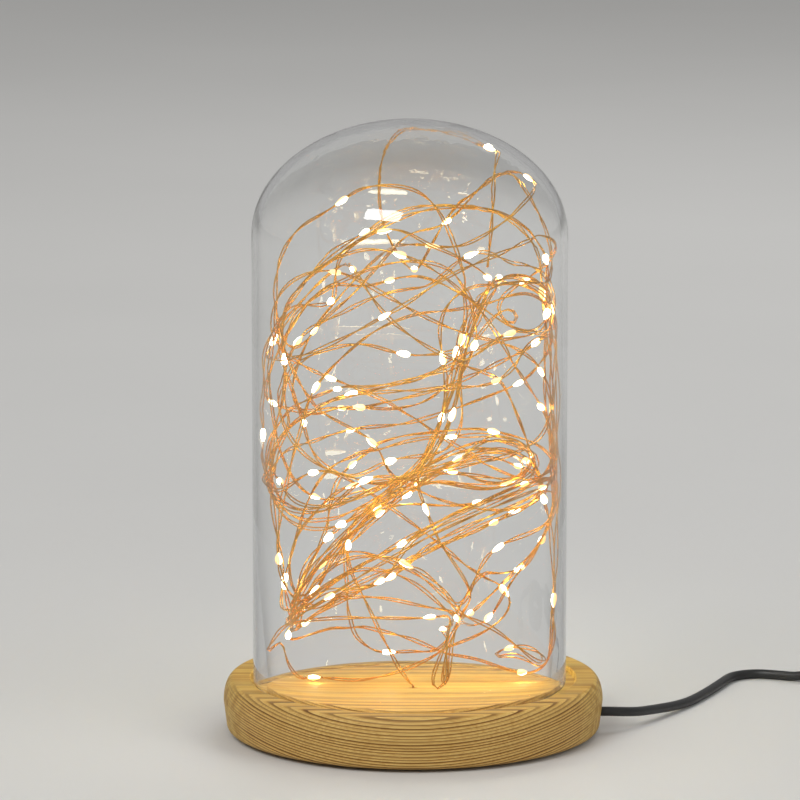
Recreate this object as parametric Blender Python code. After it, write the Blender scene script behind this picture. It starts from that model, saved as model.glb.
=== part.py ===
"""Table lamp: a glass dome over a nest of copper-wire string lights, seated in a turned wood base."""

import math

import bmesh
import bpy
import numpy as np
from mathutils import Matrix, Vector
from mathutils.kdtree import KDTree

MM = 0.001

# Clearance that touching pieces keep, and the one that screws and wires keep in their holes
SEAT = 0.3 * MM
HOLE_PLAY = 0.3 * MM

# Glass dome
DOME_RADIUS = 60.0 * MM
DOME_WALL = 2.5 * MM
DOME_HEIGHT = 217.0 * MM
CROWN_RISE = 43.5 * MM

# Seat for the dome in the base
GROOVE_OUTER_PLAY = 2.3 * MM
GROOVE_INNER_PLAY = 2.5 * MM
GROOVE_DEPTH = 2.4 * MM
DOME_REST_SHARE = 0.6  # how far the dome has slid towards -X in its groove's play

# Wood base
FOOT_THICKNESS = 1.0 * MM
WOOD_THICKNESS = 19.7 * MM
RIM_LAND = 6.9 * MM
RIM_SWELL = 3.5 * MM
RIM_DROP = 8.4 * MM
SIDE_TAPER = 1.1 * MM
BOTTOM_ROUND = 2.4 * MM
GROOVE_EDGE = 0.5 * MM
WIRE_HOLE_RADIUS = 1.5 * MM

# Underside: pocket, cover, feet
POCKET_RADIUS = 27.0 * MM
COVER_RADIUS = 35.5 * MM
COVER_THICKNESS = 2.0 * MM
COVER_SIDE_PLAY = 0.5 * MM
COVER_SCREWS = 3
COVER_SCREW_LENGTH = 9.0 * MM
COVER_SCREW_RADIUS = 1.2 * MM
COVER_HEAD_RADIUS = 2.4 * MM
FOOT_RADIUS = 6.0 * MM
FOOT_COUNT = 4
FOOT_INSET = 10.0 * MM

# Power cord
CORD_RADIUS = 1.85 * MM
CORD_EXIT_HEIGHT = 7.2 * MM
CORD_TAIL_END = 15.5 * MM
LEAD_RADIUS = 0.5 * MM
LEAD_SPREAD = 2.5 * MM
COIL_CENTRE = (219.5 * MM, 16.8 * MM)
COIL_OUTER = 28.6 * MM
COIL_TURNS_PER_LAYER = 3
COIL_GAP = 0.5 * MM
COIL_APART_ALONG = 30.0 * MM
COIL_POINTS = 24

# Board in the pocket
BOARD_SIZE = (16.0 * MM, 30.0 * MM)
BOARD_THICKNESS = 1.2 * MM
BOARD_SCREW_SPAN = 23.0 * MM
BOARD_SCREW_RADIUS = 1.0 * MM
BOARD_SCREW_BITE = 5.5 * MM
BOARD_HEAD_THICKNESS = 1.2 * MM
SPACER_WALL = 1.0 * MM
RESISTOR_RADIUS = 1.1 * MM
RESISTOR_LENGTH = 6.5 * MM
RESISTOR_X = -4.5 * MM

# Cord clamp
CLAMP_THICKNESS = 1.0 * MM
CLAMP_WIDTH = 6.0 * MM
CLAMP_CENTRE = 20.5 * MM
CLAMP_FOOT = 4.6 * MM
CLAMP_SCREW_RADIUS = 0.8 * MM
CLAMP_SCREW_BITE = 5.0 * MM

# String lights
WIRE_RADIUS = 0.4 * MM
WIRE_GAP = 0.5 * MM
DROP_RADIUS = 1.45 * MM
DROP_LENGTH = 5.6 * MM
DROP_FULL_SHARE = 0.38
DROP_MARGIN = 3.0 * MM
LED_PITCH = 100.0 * MM
FIRST_LED = 75.0 * MM
LED_SLIDE = 30.0 * MM  # how far along the string an LED may be from its even place
LED_REACH = 13.0 * MM  # how far the string is drawn over to bring an LED to its place
SLIDE_COST = 0.023  # a slide of the LED along the string, set against a miss of its place
PULL_WIDTH = 22.0 * MM  # how much of the string goes with an LED that is drawn over, on each side
PULL_SPREAD = 2.2  # the same, as a share of the way that it is drawn
FIRST_BEND = (-1.0 * MM, 0.5 * MM, 3.0 * MM)
LEAST_DEPTH = 12.0 * MM
WALL_CLEARANCE = 0.8 * MM
LED_ROOM = 12.0 * MM
STEPS_PER_PLACE = 12
ROUTE_STEP = 2.5 * MM
TUBE_STEP = 16.4 * MM
ROUNDING_PASSES = 6
LOOSEN_ROUNDS = 120
SAMPLE_STEP = 1.0 * MM
APART_ALONG = 12.0 * MM

# The string's route is drawn on the lamp's middle plane, as VIEWPOINT sees it. VIEWPOINT is in
# front of the lamp and above it, with its height taken from the wood disc.
VIEWPOINT = (-5.1 * MM, -2263.0 * MM, 519.0 * MM)

# Bundles that the string runs through more than once: (across, up) in millimetres
RISING = (
    (-47, 25), (-45, 34), (-39, 45), (-30, 54), (-21, 64), (-11, 72), (0, 80), (7, 90),
    (12, 102), (15, 113), (18, 127), (22, 140), (27, 151),
)
DIAGONAL = ((-47, 24), (-40, 30), (-28, 38), (-11, 48), (6, 58), (23, 66), (41, 74), (50, 78))
LEFT_BOW = ((-32, 108), (-41, 105), (-48, 99), (-53, 90), (-55, 81))
LEFT_FOOT = ((-54, 74), (-49, 68), (-41, 65), (-31, 66), (-20, 70))
RIGHT_CURL = ((-5, 76), (10, 77), (25, 74), (38, 76), (46, 82))
CURL_BACK = ((43, 90), (32, 95), (17, 92), (3, 84))

# The string's way from the wire hole to its end, stretch by stretch: how far it lies towards the
# back of the glass, from -1 to 1, a shift across and up, and the places that it passes
STRING_ROUTE = (
    (0.1, 0, 0, ((-5, 6), (-8, 13), (-12, 20), (-16, 29), (-21, 39), (-25, 48), (-26, 56))),
    (-0.35, 0, 0, RISING[4:]),
    (-0.3, 0, 0, ((32, 155), (42, 154), (50, 149), (53, 141))),
    (0.7, 0, 0, ((50, 134), (41, 128), (31, 123), (20, 118), (6, 113), (-7, 110), (-22, 107))),
    (0.6, 0, 0, LEFT_BOW),
    (-0.6, 0, 0, LEFT_FOOT),
    (-0.6, 0, 0, RIGHT_CURL),
    (0.6, 0, 0, CURL_BACK),
    (0.3, 0, 0, RISING[5::-1]),
    (-0.7, 0, 0, DIAGONAL),
    (0.5, 0, 0, ((55, 76), (55, 71), (52, 65), (43, 60), (33, 54), (27, 47), (21, 38), (16, 29))),
    (-0.75, 0, 0, ((13, 16), (9, 6), (6, -2), (9, -6), (12, -3), (13, 6), (12, 16), (15, 25))),
    (-0.5, 0, 0, ((6, 26), (-9, 25), (-26, 25), (-39, 24), (-48, 22))),
    (0.3, 0, 0, ((-54, 16), (-57, 11), (-55, 12), (-49, 20))),
    (0.2, 0, 0, ((-49, 14), (-47, 8), (-42, 4), (-36, 2), (-24, 3), (-11, 5), (3, 10), (13, 16))),
    (0.4, 0, 0, ((22, 20), (30, 24), (35, 29), (34, 35), (29, 39))),
    (0.6, 0, 0, ((20, 48), (9, 57), (-2, 65), (-13, 73), (-24, 80), (-34, 85), (-40, 92), (-43, 100))),
    (0.2, 0, 0, ((-45, 110), (-49, 120), (-51, 131), (-49, 141))),
    (-0.75, 0, 0, ((-43, 151), (-35, 159), (-24, 165), (-13, 168), (0, 169), (12, 165), (22, 160),
        (28, 155))),
    (-0.1, 1.5, -1, RISING[::-1]),
    (-0.85, 1, -2, DIAGONAL),
    (0.2, 0, 0, ((54, 84), (52, 94), (50, 108), (50, 123), (51, 138), (50, 150), (49, 161))),
    (0.6, 0, 0, ((45, 169), (39, 176), (29, 181), (17, 183), (4, 183), (-7, 180), (-20, 172))),
    (0.5, 0, 0, ((-32, 164), (-42, 153), (-50, 141))),
    (-0.3, 0, 0, ((-54, 133), (-57, 125), (-56, 115), (-57, 106), (-57, 95), (-56, 84), (-52, 73))),
    (-0.7, 0, 0, ((-43, 66), (-30, 67), (-16, 73), (-3, 80), (12, 87), (25, 94), (38, 93), (45, 88))),
    (0.5, 0, 0, ((46, 81), (41, 75), (29, 72), (14, 70), (-2, 71))),
    (0.1, 0, 0, ((-16, 66), (-25, 55), (-32, 48), (-39, 38), (-45, 29))),
    (-0.6, 2, 1, RISING),
    (0.2, 0, 0, ((35, 153), (44, 152), (50, 148), (52, 139))),
    (0.5, 0, 0, ((46, 134), (33, 132), (18, 126), (3, 118), (-13, 114), (-28, 111))),
    (0.4, -1.5, -2, LEFT_BOW[1:]),
    (-0.6, -1, 3, LEFT_FOOT),
    (-0.5, 0, 0, ((-7, 77), (6, 84), (22, 90), (35, 89))),
    (0.2, 0, 0, ((42, 84), (38, 78), (25, 77), (12, 79), (1, 77))),
    (-0.4, 0, 0, ((-11, 69), (-24, 58), (-36, 45), (-45, 32))),
    (-0.5, -1, 2, DIAGONAL),
    (0.5, 0, 0, ((54, 85), (49, 92), (39, 96), (25, 99), (10, 98), (-3, 96), (-15, 92), (-24, 85))),
    (0.2, 0, 0, ((-30, 77), (-32, 66), (-35, 55), (-41, 43), (-47, 31))),
    (0.1, 0, 0, ((-42, 29), (-33, 38), (-22, 45), (-11, 45), (1, 40), (9, 33), (16, 27))),
    (0.5, 0, 0, ((22, 31), (34, 41), (44, 51), (51, 63), (54, 73))),
    (-0.1, 0, 0, ((52, 82), (52, 96), (52, 112), (52, 127), (51, 142), (50, 154))),
    (-0.5, 0, 0, ((49, 163), (44, 172), (35, 179), (22, 182), (6, 181), (-9, 176), (-22, 168), (-35, 158))),
    (0.0, 0, 0, ((-46, 146), (-52, 135), (-55, 122), (-54, 110), (-52, 96))),
    (0.4, 0, 0, ((-49, 86), (-43, 77), (-32, 73), (-16, 76), (-1, 81), (14, 86), (29, 90), (40, 89))),
    (-0.3, 0, 0, ((44, 83), (39, 78), (25, 80), (10, 81))),
    (0.5, 3, -2, RISING[6::-1]),
    (-0.2, 0, 0, ((-48, 34), (-50, 49), (-53, 67), (-54, 86), (-51, 103), (-47, 118), (-48, 131))),
    (-0.4, 0, 0, ((-42, 144), (-32, 151), (-20, 157), (-7, 161), (6, 161), (16, 157), (21, 148), (22, 135))),
    (-0.2, 0, 0, ((18, 119), (13, 108), (9, 97), (3, 86), (-7, 77), (-20, 67), (-34, 55), (-43, 41))),
    (-0.2, 2, -3, DIAGONAL),
    (0.3, 0, 0, ((54, 69), (52, 63), (44, 58), (36, 54), (29, 49), (23, 41), (18, 31))),
    (0.5, 0, 0, ((10, 38), (1, 45), (-13, 51), (-24, 54), (-31, 50), (-37, 39), (-44, 29))),
    (0.3, 0, -5, DIAGONAL),
    (0.7, 2, -3, CURL_BACK),
    (0.2, 0, 0, ((-7, 75), (-20, 69), (-32, 64), (-43, 64), (-52, 70))),
    (-0.2, 0, 0, ((-56, 82), (-54, 94), (-47, 105))),
    (-0.7, 0, 0, ((-35, 110), (-20, 113), (-5, 115), (10, 119), (25, 125), (37, 130), (48, 133))),
    (0.3, 0, 0, ((54, 139), (54, 148), (51, 156), (44, 160))),
    (0.6, 0, 0, ((33, 160), (20, 156), (6, 152), (-9, 150), (-22, 145), (-34, 138), (-43, 129), (-49, 118))),
    (-0.3, 0, 0, ((-51, 107), (-47, 95), (-39, 86), (-26, 80), (-11, 79), (4, 84), (15, 92))),
    (-0.4, 0, 0, ((19, 104), (17, 115), (20, 129), (25, 140), (30, 150))),
    (0.1, 0, 0, ((35, 156), (44, 156), (51, 151), (54, 138), (54, 123), (53, 108), (54, 92), (52, 77))),
    (-0.4, 0, 0, ((44, 69), (33, 63), (20, 57), (4, 50), (-11, 43), (-26, 36), (-39, 28))),
    (-0.5, 0, 0, ((-49, 38), (-51, 55), (-48, 75), (-44, 92), (-38, 108), (-29, 122), (-16, 134), (0, 141))),
    (-0.1, 0, 0, ((16, 143), (30, 146), (42, 150), (51, 145), (52, 130))),
    (0.6, 0, 0, ((44, 119), (30, 112), (14, 106), (-3, 101), (-20, 99), (-36, 95))),
    (-0.3, 0, 0, ((-50, 88), (-54, 75), (-47, 62), (-33, 60), (-17, 66), (0, 75), (16, 84), (32, 88))),
    (0.1, 0, 0, ((46, 84), (49, 74), (40, 68), (25, 68), (9, 72), (-7, 80), (-22, 91), (-35, 104))),
    (-0.3, 0, 0, ((-45, 119), (-50, 135), (-45, 149))),
    (-0.6, 0, 0, ((-33, 160), (-18, 166), (-2, 163), (12, 155), (24, 144), (33, 131), (41, 117))),
    (0.4, 0, 0, ((50, 104), (54, 90), (48, 79), (35, 82), (20, 90), (5, 100), (-10, 109), (-26, 116),
        (-41, 122))),
    (0.0, 0, 0, ((-52, 130), (-53, 145), (-45, 155), (-30, 158), (-13, 150), (3, 141), (20, 134), (36, 130))),
    (-0.1, 0, 0, ((48, 124), (53, 112), (50, 97))),
    (-0.5, 0, 0, ((38, 88), (22, 84), (5, 80), (-12, 76), (-28, 72), (-42, 60), (-47, 45))),
    (-0.4, 0, 0, ((-43, 31), (-35, 41), (-26, 48), (-15, 49), (-3, 47), (6, 41), (13, 35), (16, 28))),
    (-0.3, 0, 0, ((22, 25), (28, 23), (35, 18), (41, 13), (47, 8))),
    (0.4, 0, 0, ((50, 11), (47, 15), (39, 17), (31, 15), (29, 11), (33, 13), (39, 14), (45, 10))),
    (0.3, 0, 0, ((49, 6), (52, 14), (52, 21), (53, 31), (53, 45), (52, 61))),
    (-0.5, 0, 0, ((49, 70), (47, 79), (44, 89), (41, 98), (37, 108), (33, 116))),
    (-0.7, 0, 0, ((26, 119), (14, 124), (3, 130), (-9, 139), (-16, 148), (-22, 158))),
    (0.3, 0, 0, ((-27, 160), (-34, 155), (-43, 146), (-50, 135), (-55, 126))),
    (-0.8, 0, 0, ((-49, 124), (-39, 126), (-28, 131), (-15, 138), (-1, 146), (12, 155), (25, 161),
        (37, 166))),
    (-0.4, 0, 0, ((48, 171), (54, 169))),
    (0.3, 0, 0, ((54, 164), (50, 160), (41, 154), (35, 150), (31, 145))),
    (0.2, 0, 0, ((34, 139), (38, 136), (41, 140), (38, 145), (33, 143), (28, 138), (23, 131))),
    (0.6, 0, 0, ((16, 128), (6, 127), (-5, 128), (-18, 131), (-32, 129), (-42, 125))),
    (0.2, 2, 2, ((-49, 118), (-52, 108)) + LEFT_BOW[2:]),
    (-0.8, 2, 2, LEFT_FOOT),
    (-0.4, -1, 2, RIGHT_CURL),
    (0.5, 0, 0, ((41, 93), (30, 97), (17, 97), (3, 96), (-11, 93), (-22, 89))),
    (0.3, 0, 0, ((-32, 84), (-39, 74), (-43, 63), (-46, 51), (-49, 42), (-50, 34))),
    (-0.2, 0, 0, ((-49, 28), (-43, 27), (-32, 33), (-16, 34), (-3, 32), (7, 29), (16, 27))),
    (-0.65, 0, 0, ((13, 14), (11, 3), (11, -5), (14, 2), (14, 12), (17, 22))),
    (0.4, 0, 0, ((22, 25), (29, 27), (35, 38), (41, 46), (49, 57), (53, 66))),
    (0.0, 0, 0, ((55, 73), (53, 79))),
    (-0.6, 0, 2, DIAGONAL[6:0:-1]),
    (0.2, 0, 0, ((-48, 25), (-50, 20), (-43, 21), (-24, 24), (-11, 22), (3, 18), (10, 14), (22, 12))),
    (0.3, 0, 0, ((33, 9), (44, 6), (50, 8))),
    (-0.2, 0, 0, ((53, 16), (53, 30), (54, 45), (54, 61), (55, 77), (54, 92), (55, 108), (54, 123))),
    (-0.6, 0, 0, ((53, 134), (44, 130), (35, 125), (25, 119), (12, 113), (-3, 112), (-18, 111), (-32, 108))),
    (0.4, 0, 0, ((-41, 105), (-49, 107), (-56, 109), (-55, 118), (-50, 131), (-43, 142), (-32, 153))),
    (0.5, 0, 0, ((-20, 152), (-8, 156), (3, 156), (15, 151), (25, 145), (35, 138), (44, 135))),
    (-0.3, 0, 0, ((51, 139), (53, 146), (49, 152), (42, 154), (33, 153), (26, 149))),
    (0.4, -2, 0, RISING[11:3:-1]),
    (0.2, 0, 0, ((-26, 53), (-25, 39), (-25, 29), (-23, 22), (-18, 15), (-11, 12), (-3, 14), (7, 14))),
    (-0.2, 0, 0, ((14, 19), (18, 27))),
    (-0.6, 0, 0, ((22, 34), (16, 45), (9, 55), (5, 66), (1, 77))),
    (-0.5, 0, 0, ((5, 88), (10, 98), (12, 108), (13, 119), (11, 129), (10, 139), (14, 147), (20, 151))),
    (-0.5, 0, 0, ((27, 153), (35, 153), (44, 154), (50, 152))),
    (0.1, 0, 0, ((53, 161), (51, 172), (46, 182), (41, 191), (36, 196))),
    (0.3, 0, 0, ((27, 192), (18, 186), (6, 178), (-5, 169), (-13, 160), (-22, 150), (-34, 138), (-41, 129))),
    (0.0, 0, 0, ((-48, 129), (-51, 136))),
    (-0.5, 0, 0, ((-52, 150), (-50, 163), (-43, 174), (-34, 179), (-27, 184), (-20, 189), (-11, 190),
        (-1, 189))),
    (-0.4, 0, 0, ((7, 184), (12, 176), (16, 166), (19, 156), (20, 144), (19, 133), (15, 121))),
    (0.4, 0, 0, ((9, 112), (-1, 107), (-15, 106), (-28, 107), (-39, 103))),
    (0.5, 0, 0, ((-46, 108), (-46, 117), (-42, 128), (-37, 138), (-29, 147), (-21, 156), (-13, 163))),
    (-0.5, 0, 0, ((-4, 168), (6, 167), (18, 167), (27, 171), (37, 179), (44, 186))),
    (0.2, 0, 0, ((46, 192), (41, 196), (33, 195))),
    (0.6, 0, 0, ((25, 189), (16, 183), (11, 175), (6, 166), (1, 158))),
    (0.25, 0, 0, ((-4, 161), (-8, 167), (-11, 174), (-13, 183), (-13, 192), (-12, 202), (-8, 209))),
    (0.15, 0, 0, ((-2, 213), (4, 215), (11, 214), (18, 210), (25, 206), (30, 205))),
    (-0.2, 0, 0, ((30, 196), (30, 182), (29, 169), (28, 159))),
)

# Where the LEDs show: (across, up) in millimetres
LED_PLACES = (
    (31, 206), (-27, 184), (-19, 172), (-11, 173), (12, 176), (7, 167), (22, 164), (50, 162),
    (-23, 159), (0, 158), (-10, 154), (28, 155), (32, 155), (42, 154), (49, 149), (-31, 146),
    (-37, 136), (-44, 132), (-53, 132), (51, 141), (36, 134), (18, 131), (23, 130), (47, 131),
    (-4, 127), (11, 125), (16, 127), (-49, 125), (-57, 125), (49, 119), (-32, 118), (-12, 118),
    (1, 119), (-37, 113), (-28, 113), (-24, 112), (32, 116), (40, 116), (-54, 108), (-28, 107),
    (-21, 107), (-12, 106), (7, 104), (11, 103), (15, 103), (-42, 102), (-23, 99), (-16, 94),
    (-58, 95), (14, 96), (31, 98), (-9, 89), (-8, 86), (-23, 86), (-41, 89), (-37, 81),
    (-50, 77), (-37, 73), (-18, 78), (-23, 76), (1, 79), (-3, 74), (45, 89), (39, 84),
    (16, 85), (14, 82), (36, 78), (5, 66), (-12, 66), (-28, 61), (-25, 55), (-5, 53),
    (32, 54), (49, 57), (40, 46), (-35, 47), (-49, 41), (-37, 37), (-9, 41), (-13, 38),
    (-16, 33), (-32, 32), (-40, 26), (-48, 21), (6, 25), (11, 21), (17, 26), (21, 29),
    (29, 28), (35, 38), (53, 32), (-9, 14), (7, 14), (42, 6), (-37, 2),
)

# Routes of the power cord where it isn't coiled: (x, y, z) in millimetres
RUN_TO_SWITCH = (
    (71.0, 0.0, 7.2),
    (75.5, 0.0, 7.2),
    (80.5, 2.0, 6.6),
    (87.0, 7.6, 5.4),
    (95.0, 18.6, 3.9),
    (101.2, 27.8, 2.8),
    (106.9, 37.2, 2.1),
    (111.6, 46.6, 1.9),
    (116.0, 56.4, 1.9),
    (120.6, 67.8, 1.9),
    (125.3, 79.6, 1.9),
    (128.7, 84.2, 1.9),
    (133.4, 87.1, 1.9),
    (138.5, 87.6, 1.9),
    (143.2, 86.4, 1.9),
    (147.6, 84.7, 1.9),
    (151.8, 83.0, 2.0),
    (156.2, 81.35, 2.9),
    (160.6, 79.85, 4.3),
    (165.2, 78.35, 5.4),
    (170.0, 76.86, 5.8),
    (176.0, 75.25, 5.8),
)
RUN_TO_COIL = (
    (210.0, 66.15, 5.8),
    (216.5, 64.4, 5.8),
    (222.0, 62.5, 5.6),
    (229.5, 58.6, 4.6),
    (237.0, 52.2, 3.3),
    (243.0, 43.6, 2.3),
    (246.9, 34.3, 1.9),
    (248.1, 26.3, 1.9),
    (248.1, 20.8, 1.9),
)
RUN_TO_PLUG = (
    (248.1, 12.8, 6.1),
    (248.2, 7.3, 5.9),
    (248.9, -0.2, 4.7),
    (249.6, -9.7, 3.0),
    (248.6, -20.2, 1.9),
    (243.8, -31.2, 1.9),
    (234.5, -39.4, 2.2),
    (224.0, -42.8, 3.3),
    (216.0, -43.2, 4.1),
    (208.6, -43.2, 4.1),
)

# In-line switch: centre, heading of its length about +Z, and its shells
SWITCH_CENTRE = (193.0 * MM, 70.7 * MM)
SWITCH_HEADING = math.radians(-15.0)
SWITCH_LENGTH = 50.0 * MM
SWITCH_WIDTH = 17.0 * MM
SWITCH_HALF_HEIGHT = 5.8 * MM
SWITCH_CORNER = 4.0 * MM
SWITCH_EDGE = 1.0 * MM
SWITCH_FLOOR = 2.4 * MM
SWITCH_BORE_DEPTH = 12.0 * MM
ROCKER_LENGTH = 14.0 * MM
ROCKER_WIDTH = 8.4 * MM
ROCKER_RISE = 3.2 * MM
ROCKER_DIP = 2.6 * MM
ROCKER_WINDOW_PLAY = 0.9 * MM
ROCKER_SIDE_PLAY = 0.4 * MM
ROCKER_PIN_RADIUS = 1.1 * MM
ROCKER_PIN_REACH = 1.6 * MM
ROCKER_PIVOT_ABOVE_SPLIT = 2.9 * MM
ROCKER_TILT = math.radians(7.0)
SWITCH_SCREW_SPAN = (36.0 * MM, 11.0 * MM)
SWITCH_SCREW_RADIUS = 0.8 * MM
SWITCH_HEAD_RADIUS = 1.5 * MM
SWITCH_HEAD_THICKNESS = 1.0 * MM
SWITCH_SCREW_LENGTH = 7.0 * MM
CONTACT_SIZE = (4.6 * MM, 3.0 * MM, 0.5 * MM)

# USB plug: centre line height, body, metal shell and tongue
PLUG_NECK_END = (213.0 * MM, -43.2 * MM)
PLUG_HALF_HEIGHT = 4.1 * MM
PLUG_HALF_WIDTH = 7.9 * MM
PLUG_BODY_LENGTH = 21.0 * MM
PLUG_NECK_LENGTH = 11.0 * MM
PLUG_NECK_WALL = 0.9 * MM
PLUG_SHELL_SIZE = (12.0 * MM, 4.5 * MM)
PLUG_SHELL_WALL = 0.4 * MM
PLUG_SHELL_REACH = 17.5 * MM
PLUG_SHELL_SEAT = 3.0 * MM
TONGUE_THICKNESS = 1.6 * MM
TONGUE_SHORT = 1.0 * MM
USB_CONTACTS = 4

# Facets
ROUND_SIDES = 48
SMALL_SIDES = 16
COVER_SIDES = 32
CROWN_STEPS = 8

# Sizes that follow from the ones above
WOOD_BOTTOM = FOOT_THICKNESS + SEAT
WOOD_TOP = WOOD_BOTTOM + WOOD_THICKNESS
GROOVE_FLOOR = WOOD_TOP - GROOVE_DEPTH
GROOVE_RADIUS = DOME_RADIUS + GROOVE_OUTER_PLAY
DISC_RADIUS = DOME_RADIUS - DOME_WALL - GROOVE_INNER_PLAY
BASE_RADIUS = GROOVE_RADIUS + RIM_LAND + RIM_SWELL
DOME_X = -DOME_REST_SHARE * min(GROOVE_OUTER_PLAY, GROOVE_INNER_PLAY)
DOME_FOOT = GROOVE_FLOOR + SEAT
COVER_TOP = WOOD_BOTTOM + COVER_THICKNESS
REBATE_ROOF = COVER_TOP + SEAT
POCKET_ROOF = CORD_EXIT_HEIGHT + CORD_RADIUS + SEAT
BOARD_TOP = CORD_EXIT_HEIGHT - LEAD_RADIUS - SEAT
BOARD_BOTTOM = BOARD_TOP - BOARD_THICKNESS
SWITCH_PIVOT_HEIGHT = SWITCH_HALF_HEIGHT + ROCKER_PIVOT_ABOVE_SPLIT


def clear_scene():
    for old in list(bpy.data.objects):
        bpy.data.objects.remove(old)


def make_material(name, colour, roughness, metallic=0.0, transmission=0.0):
    made = bpy.data.materials.new(name)
    made.use_nodes = True
    shader = made.node_tree.nodes["Principled BSDF"]
    shader.inputs["Base Color"].default_value = (*colour, 1.0)
    shader.inputs["Roughness"].default_value = roughness
    shader.inputs["Metallic"].default_value = metallic
    shader.inputs["Transmission Weight"].default_value = transmission
    made.diffuse_color = (*colour, 1.0)
    return made


def add_object(name, data, look, parent=None, hidden=False):
    made = bpy.data.objects.new(name, data)
    bpy.context.scene.collection.objects.link(made)
    if look:
        data.materials.append(look)
    made.parent = parent
    if hidden:
        made.hide_render = True
        made.display_type = "WIRE"
    return made


def add_empty(name, place):
    made = bpy.data.objects.new(name, None)
    bpy.context.scene.collection.objects.link(made)
    made.matrix_world = place
    return made


def mesh_from(build, name, smooth=True):
    """A mesh from a bmesh, with its faces pointing out and its round sides shaded smooth."""
    bmesh.ops.recalc_face_normals(build, faces=build.faces)
    data = bpy.data.meshes.new(name)
    build.to_mesh(data)
    build.free()
    if smooth:
        data.shade_smooth()
        data.set_sharp_from_angle(angle=math.radians(35.0))
    return data


def arc(centre, radii, start, end, steps):
    """Points of an elliptical arc from start to end degrees, both ends included."""
    made = []
    for k in range(steps + 1):
        angle = math.radians(start + (end - start) * k / steps)
        made.append((centre[0] + radii[0] * math.cos(angle), centre[1] + radii[1] * math.sin(angle)))
    return made


def spin_outline(outline, sides):
    """A closed outline of (radius, height) points, spun about the vertical axis."""
    build = bmesh.new()
    rings = []
    for radius, height in outline:
        if radius < 0.001 * MM:
            rings.append([build.verts.new((0.0, 0.0, height))])
            continue
        ring = []
        for k in range(sides):
            angle = math.tau * k / sides
            ring.append(build.verts.new((radius * math.cos(angle), radius * math.sin(angle), height)))
        rings.append(ring)
    for low, high in zip(rings, rings[1:] + rings[:1]):
        if len(low) == 1 and len(high) == 1:
            continue
        for k in range(sides):
            following = (k + 1) % sides
            corners = (
                low[k % len(low)],
                low[following % len(low)],
                high[following % len(high)],
                high[k % len(high)],
            )
            build.faces.new(list(dict.fromkeys(corners)))
    return build


def add_turned(name, outline, look, sides=SMALL_SIDES, place=None, parent=None, hidden=False):
    data = mesh_from(spin_outline(outline, sides), name)
    if place is not None:
        data.transform(place)
    return add_object(name, data, look, parent, hidden)


def loft(sections):
    """A closed solid through a row of sections that have the same number of points."""
    build = bmesh.new()
    rings = []
    for section in sections:
        rings.append([build.verts.new(point) for point in section])
    for low, high in zip(rings, rings[1:]):
        for k in range(len(low)):
            following = (k + 1) % len(low)
            build.faces.new((low[k], low[following], high[following], high[k]))
    build.faces.new(rings[0])
    build.faces.new(rings[-1])
    return build


def rounded_outline(half_x, half_y, corner, steps=3):
    """The corner points of a rounded rectangle, as (x, y) pairs."""
    made = []
    for quarter, (sx, sy) in enumerate(((1, 1), (-1, 1), (-1, -1), (1, -1))):
        centre = (sx * (half_x - corner), sy * (half_y - corner))
        made += arc(centre, (corner, corner), 90.0 * quarter, 90.0 * (quarter + 1), steps)
    return made


def add_block(name, low, high, look, parent=None, hidden=False):
    build = bmesh.new()
    bmesh.ops.create_cube(build, size=1.0)
    size = Vector(high) - Vector(low)
    bmesh.ops.scale(build, vec=size, verts=build.verts)
    bmesh.ops.translate(build, vec=(Vector(high) + Vector(low)) / 2, verts=build.verts)
    return add_object(name, mesh_from(build, name, smooth=False), look, parent, hidden)


def cut(target, cutter):
    step = target.modifiers.new("cut_" + cutter.name, "BOOLEAN")
    step.operation = "DIFFERENCE"
    step.solver = "EXACT"
    step.object = cutter


def add_tube(name, points, radius, look, swells=None, sides_setting=2):
    """A round cord along the points. swells are the radius at each point, as a share of radius."""
    data = bpy.data.curves.new(name, "CURVE")
    data.dimensions = "3D"
    data.bevel_depth = radius
    data.bevel_resolution = sides_setting
    data.use_fill_caps = True
    line = data.splines.new("POLY")
    line.points.add(len(points) - 1)
    for k, point in enumerate(points):
        line.points[k].co = (*point, 1.0)
        line.points[k].radius = swells[k] if swells is not None else 1.0
    line.use_smooth = True
    return add_object(name, data, look)


def catmull(values, at):
    """The smooth curve through a row of values, read at a place along the row."""
    last = len(values) - 1
    k = min(max(int(math.floor(at)), 0), last - 1)
    t = at - k
    before = values[max(k - 1, 0)]
    start = values[k]
    end = values[k + 1]
    after = values[min(k + 2, last)]
    bend = (end - before) * 0.5
    exit_bend = (after - start) * 0.5
    return (
        (2 * t**3 - 3 * t**2 + 1) * start
        + (t**3 - 2 * t**2 + t) * bend
        + (3 * t**2 - 2 * t**3) * end
        + (t**3 - t**2) * exit_bend
    )


def smooth_route(points_mm, spacing):
    """The smooth curve through hand-chosen points in millimetres, with a point about every spacing."""
    knots = [np.array(point, float) * MM for point in points_mm]
    count = STEPS_PER_PLACE * (len(knots) - 1) + 1
    dense = [catmull(knots, k / STEPS_PER_PLACE) for k in range(count)]
    return even_points(np.array(dense), spacing)


def even_points(points, spacing):
    """The same line, with its points an equal distance apart that is about spacing."""
    along = distances(points)
    count = max(int(round(along[-1] / spacing)), 1)
    places = np.linspace(0.0, along[-1], count + 1)
    return np.column_stack([np.interp(places, along, points[:, axis]) for axis in range(3)])


def distances(points):
    """How far along a line each of its points is."""
    steps = np.linalg.norm(np.diff(points, axis=0), axis=1)
    return np.concatenate([[0.0], np.cumsum(steps)])


def on_sight_line(across, up, depth):
    """The point at a depth behind the lamp's middle plane that VIEWPOINT sees at (across, up) on it."""
    eye = np.array(VIEWPOINT)
    through = np.array([across * MM, 0.0, up * MM])
    return eye + (through - eye) * (1.0 - depth / eye[1])


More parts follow.
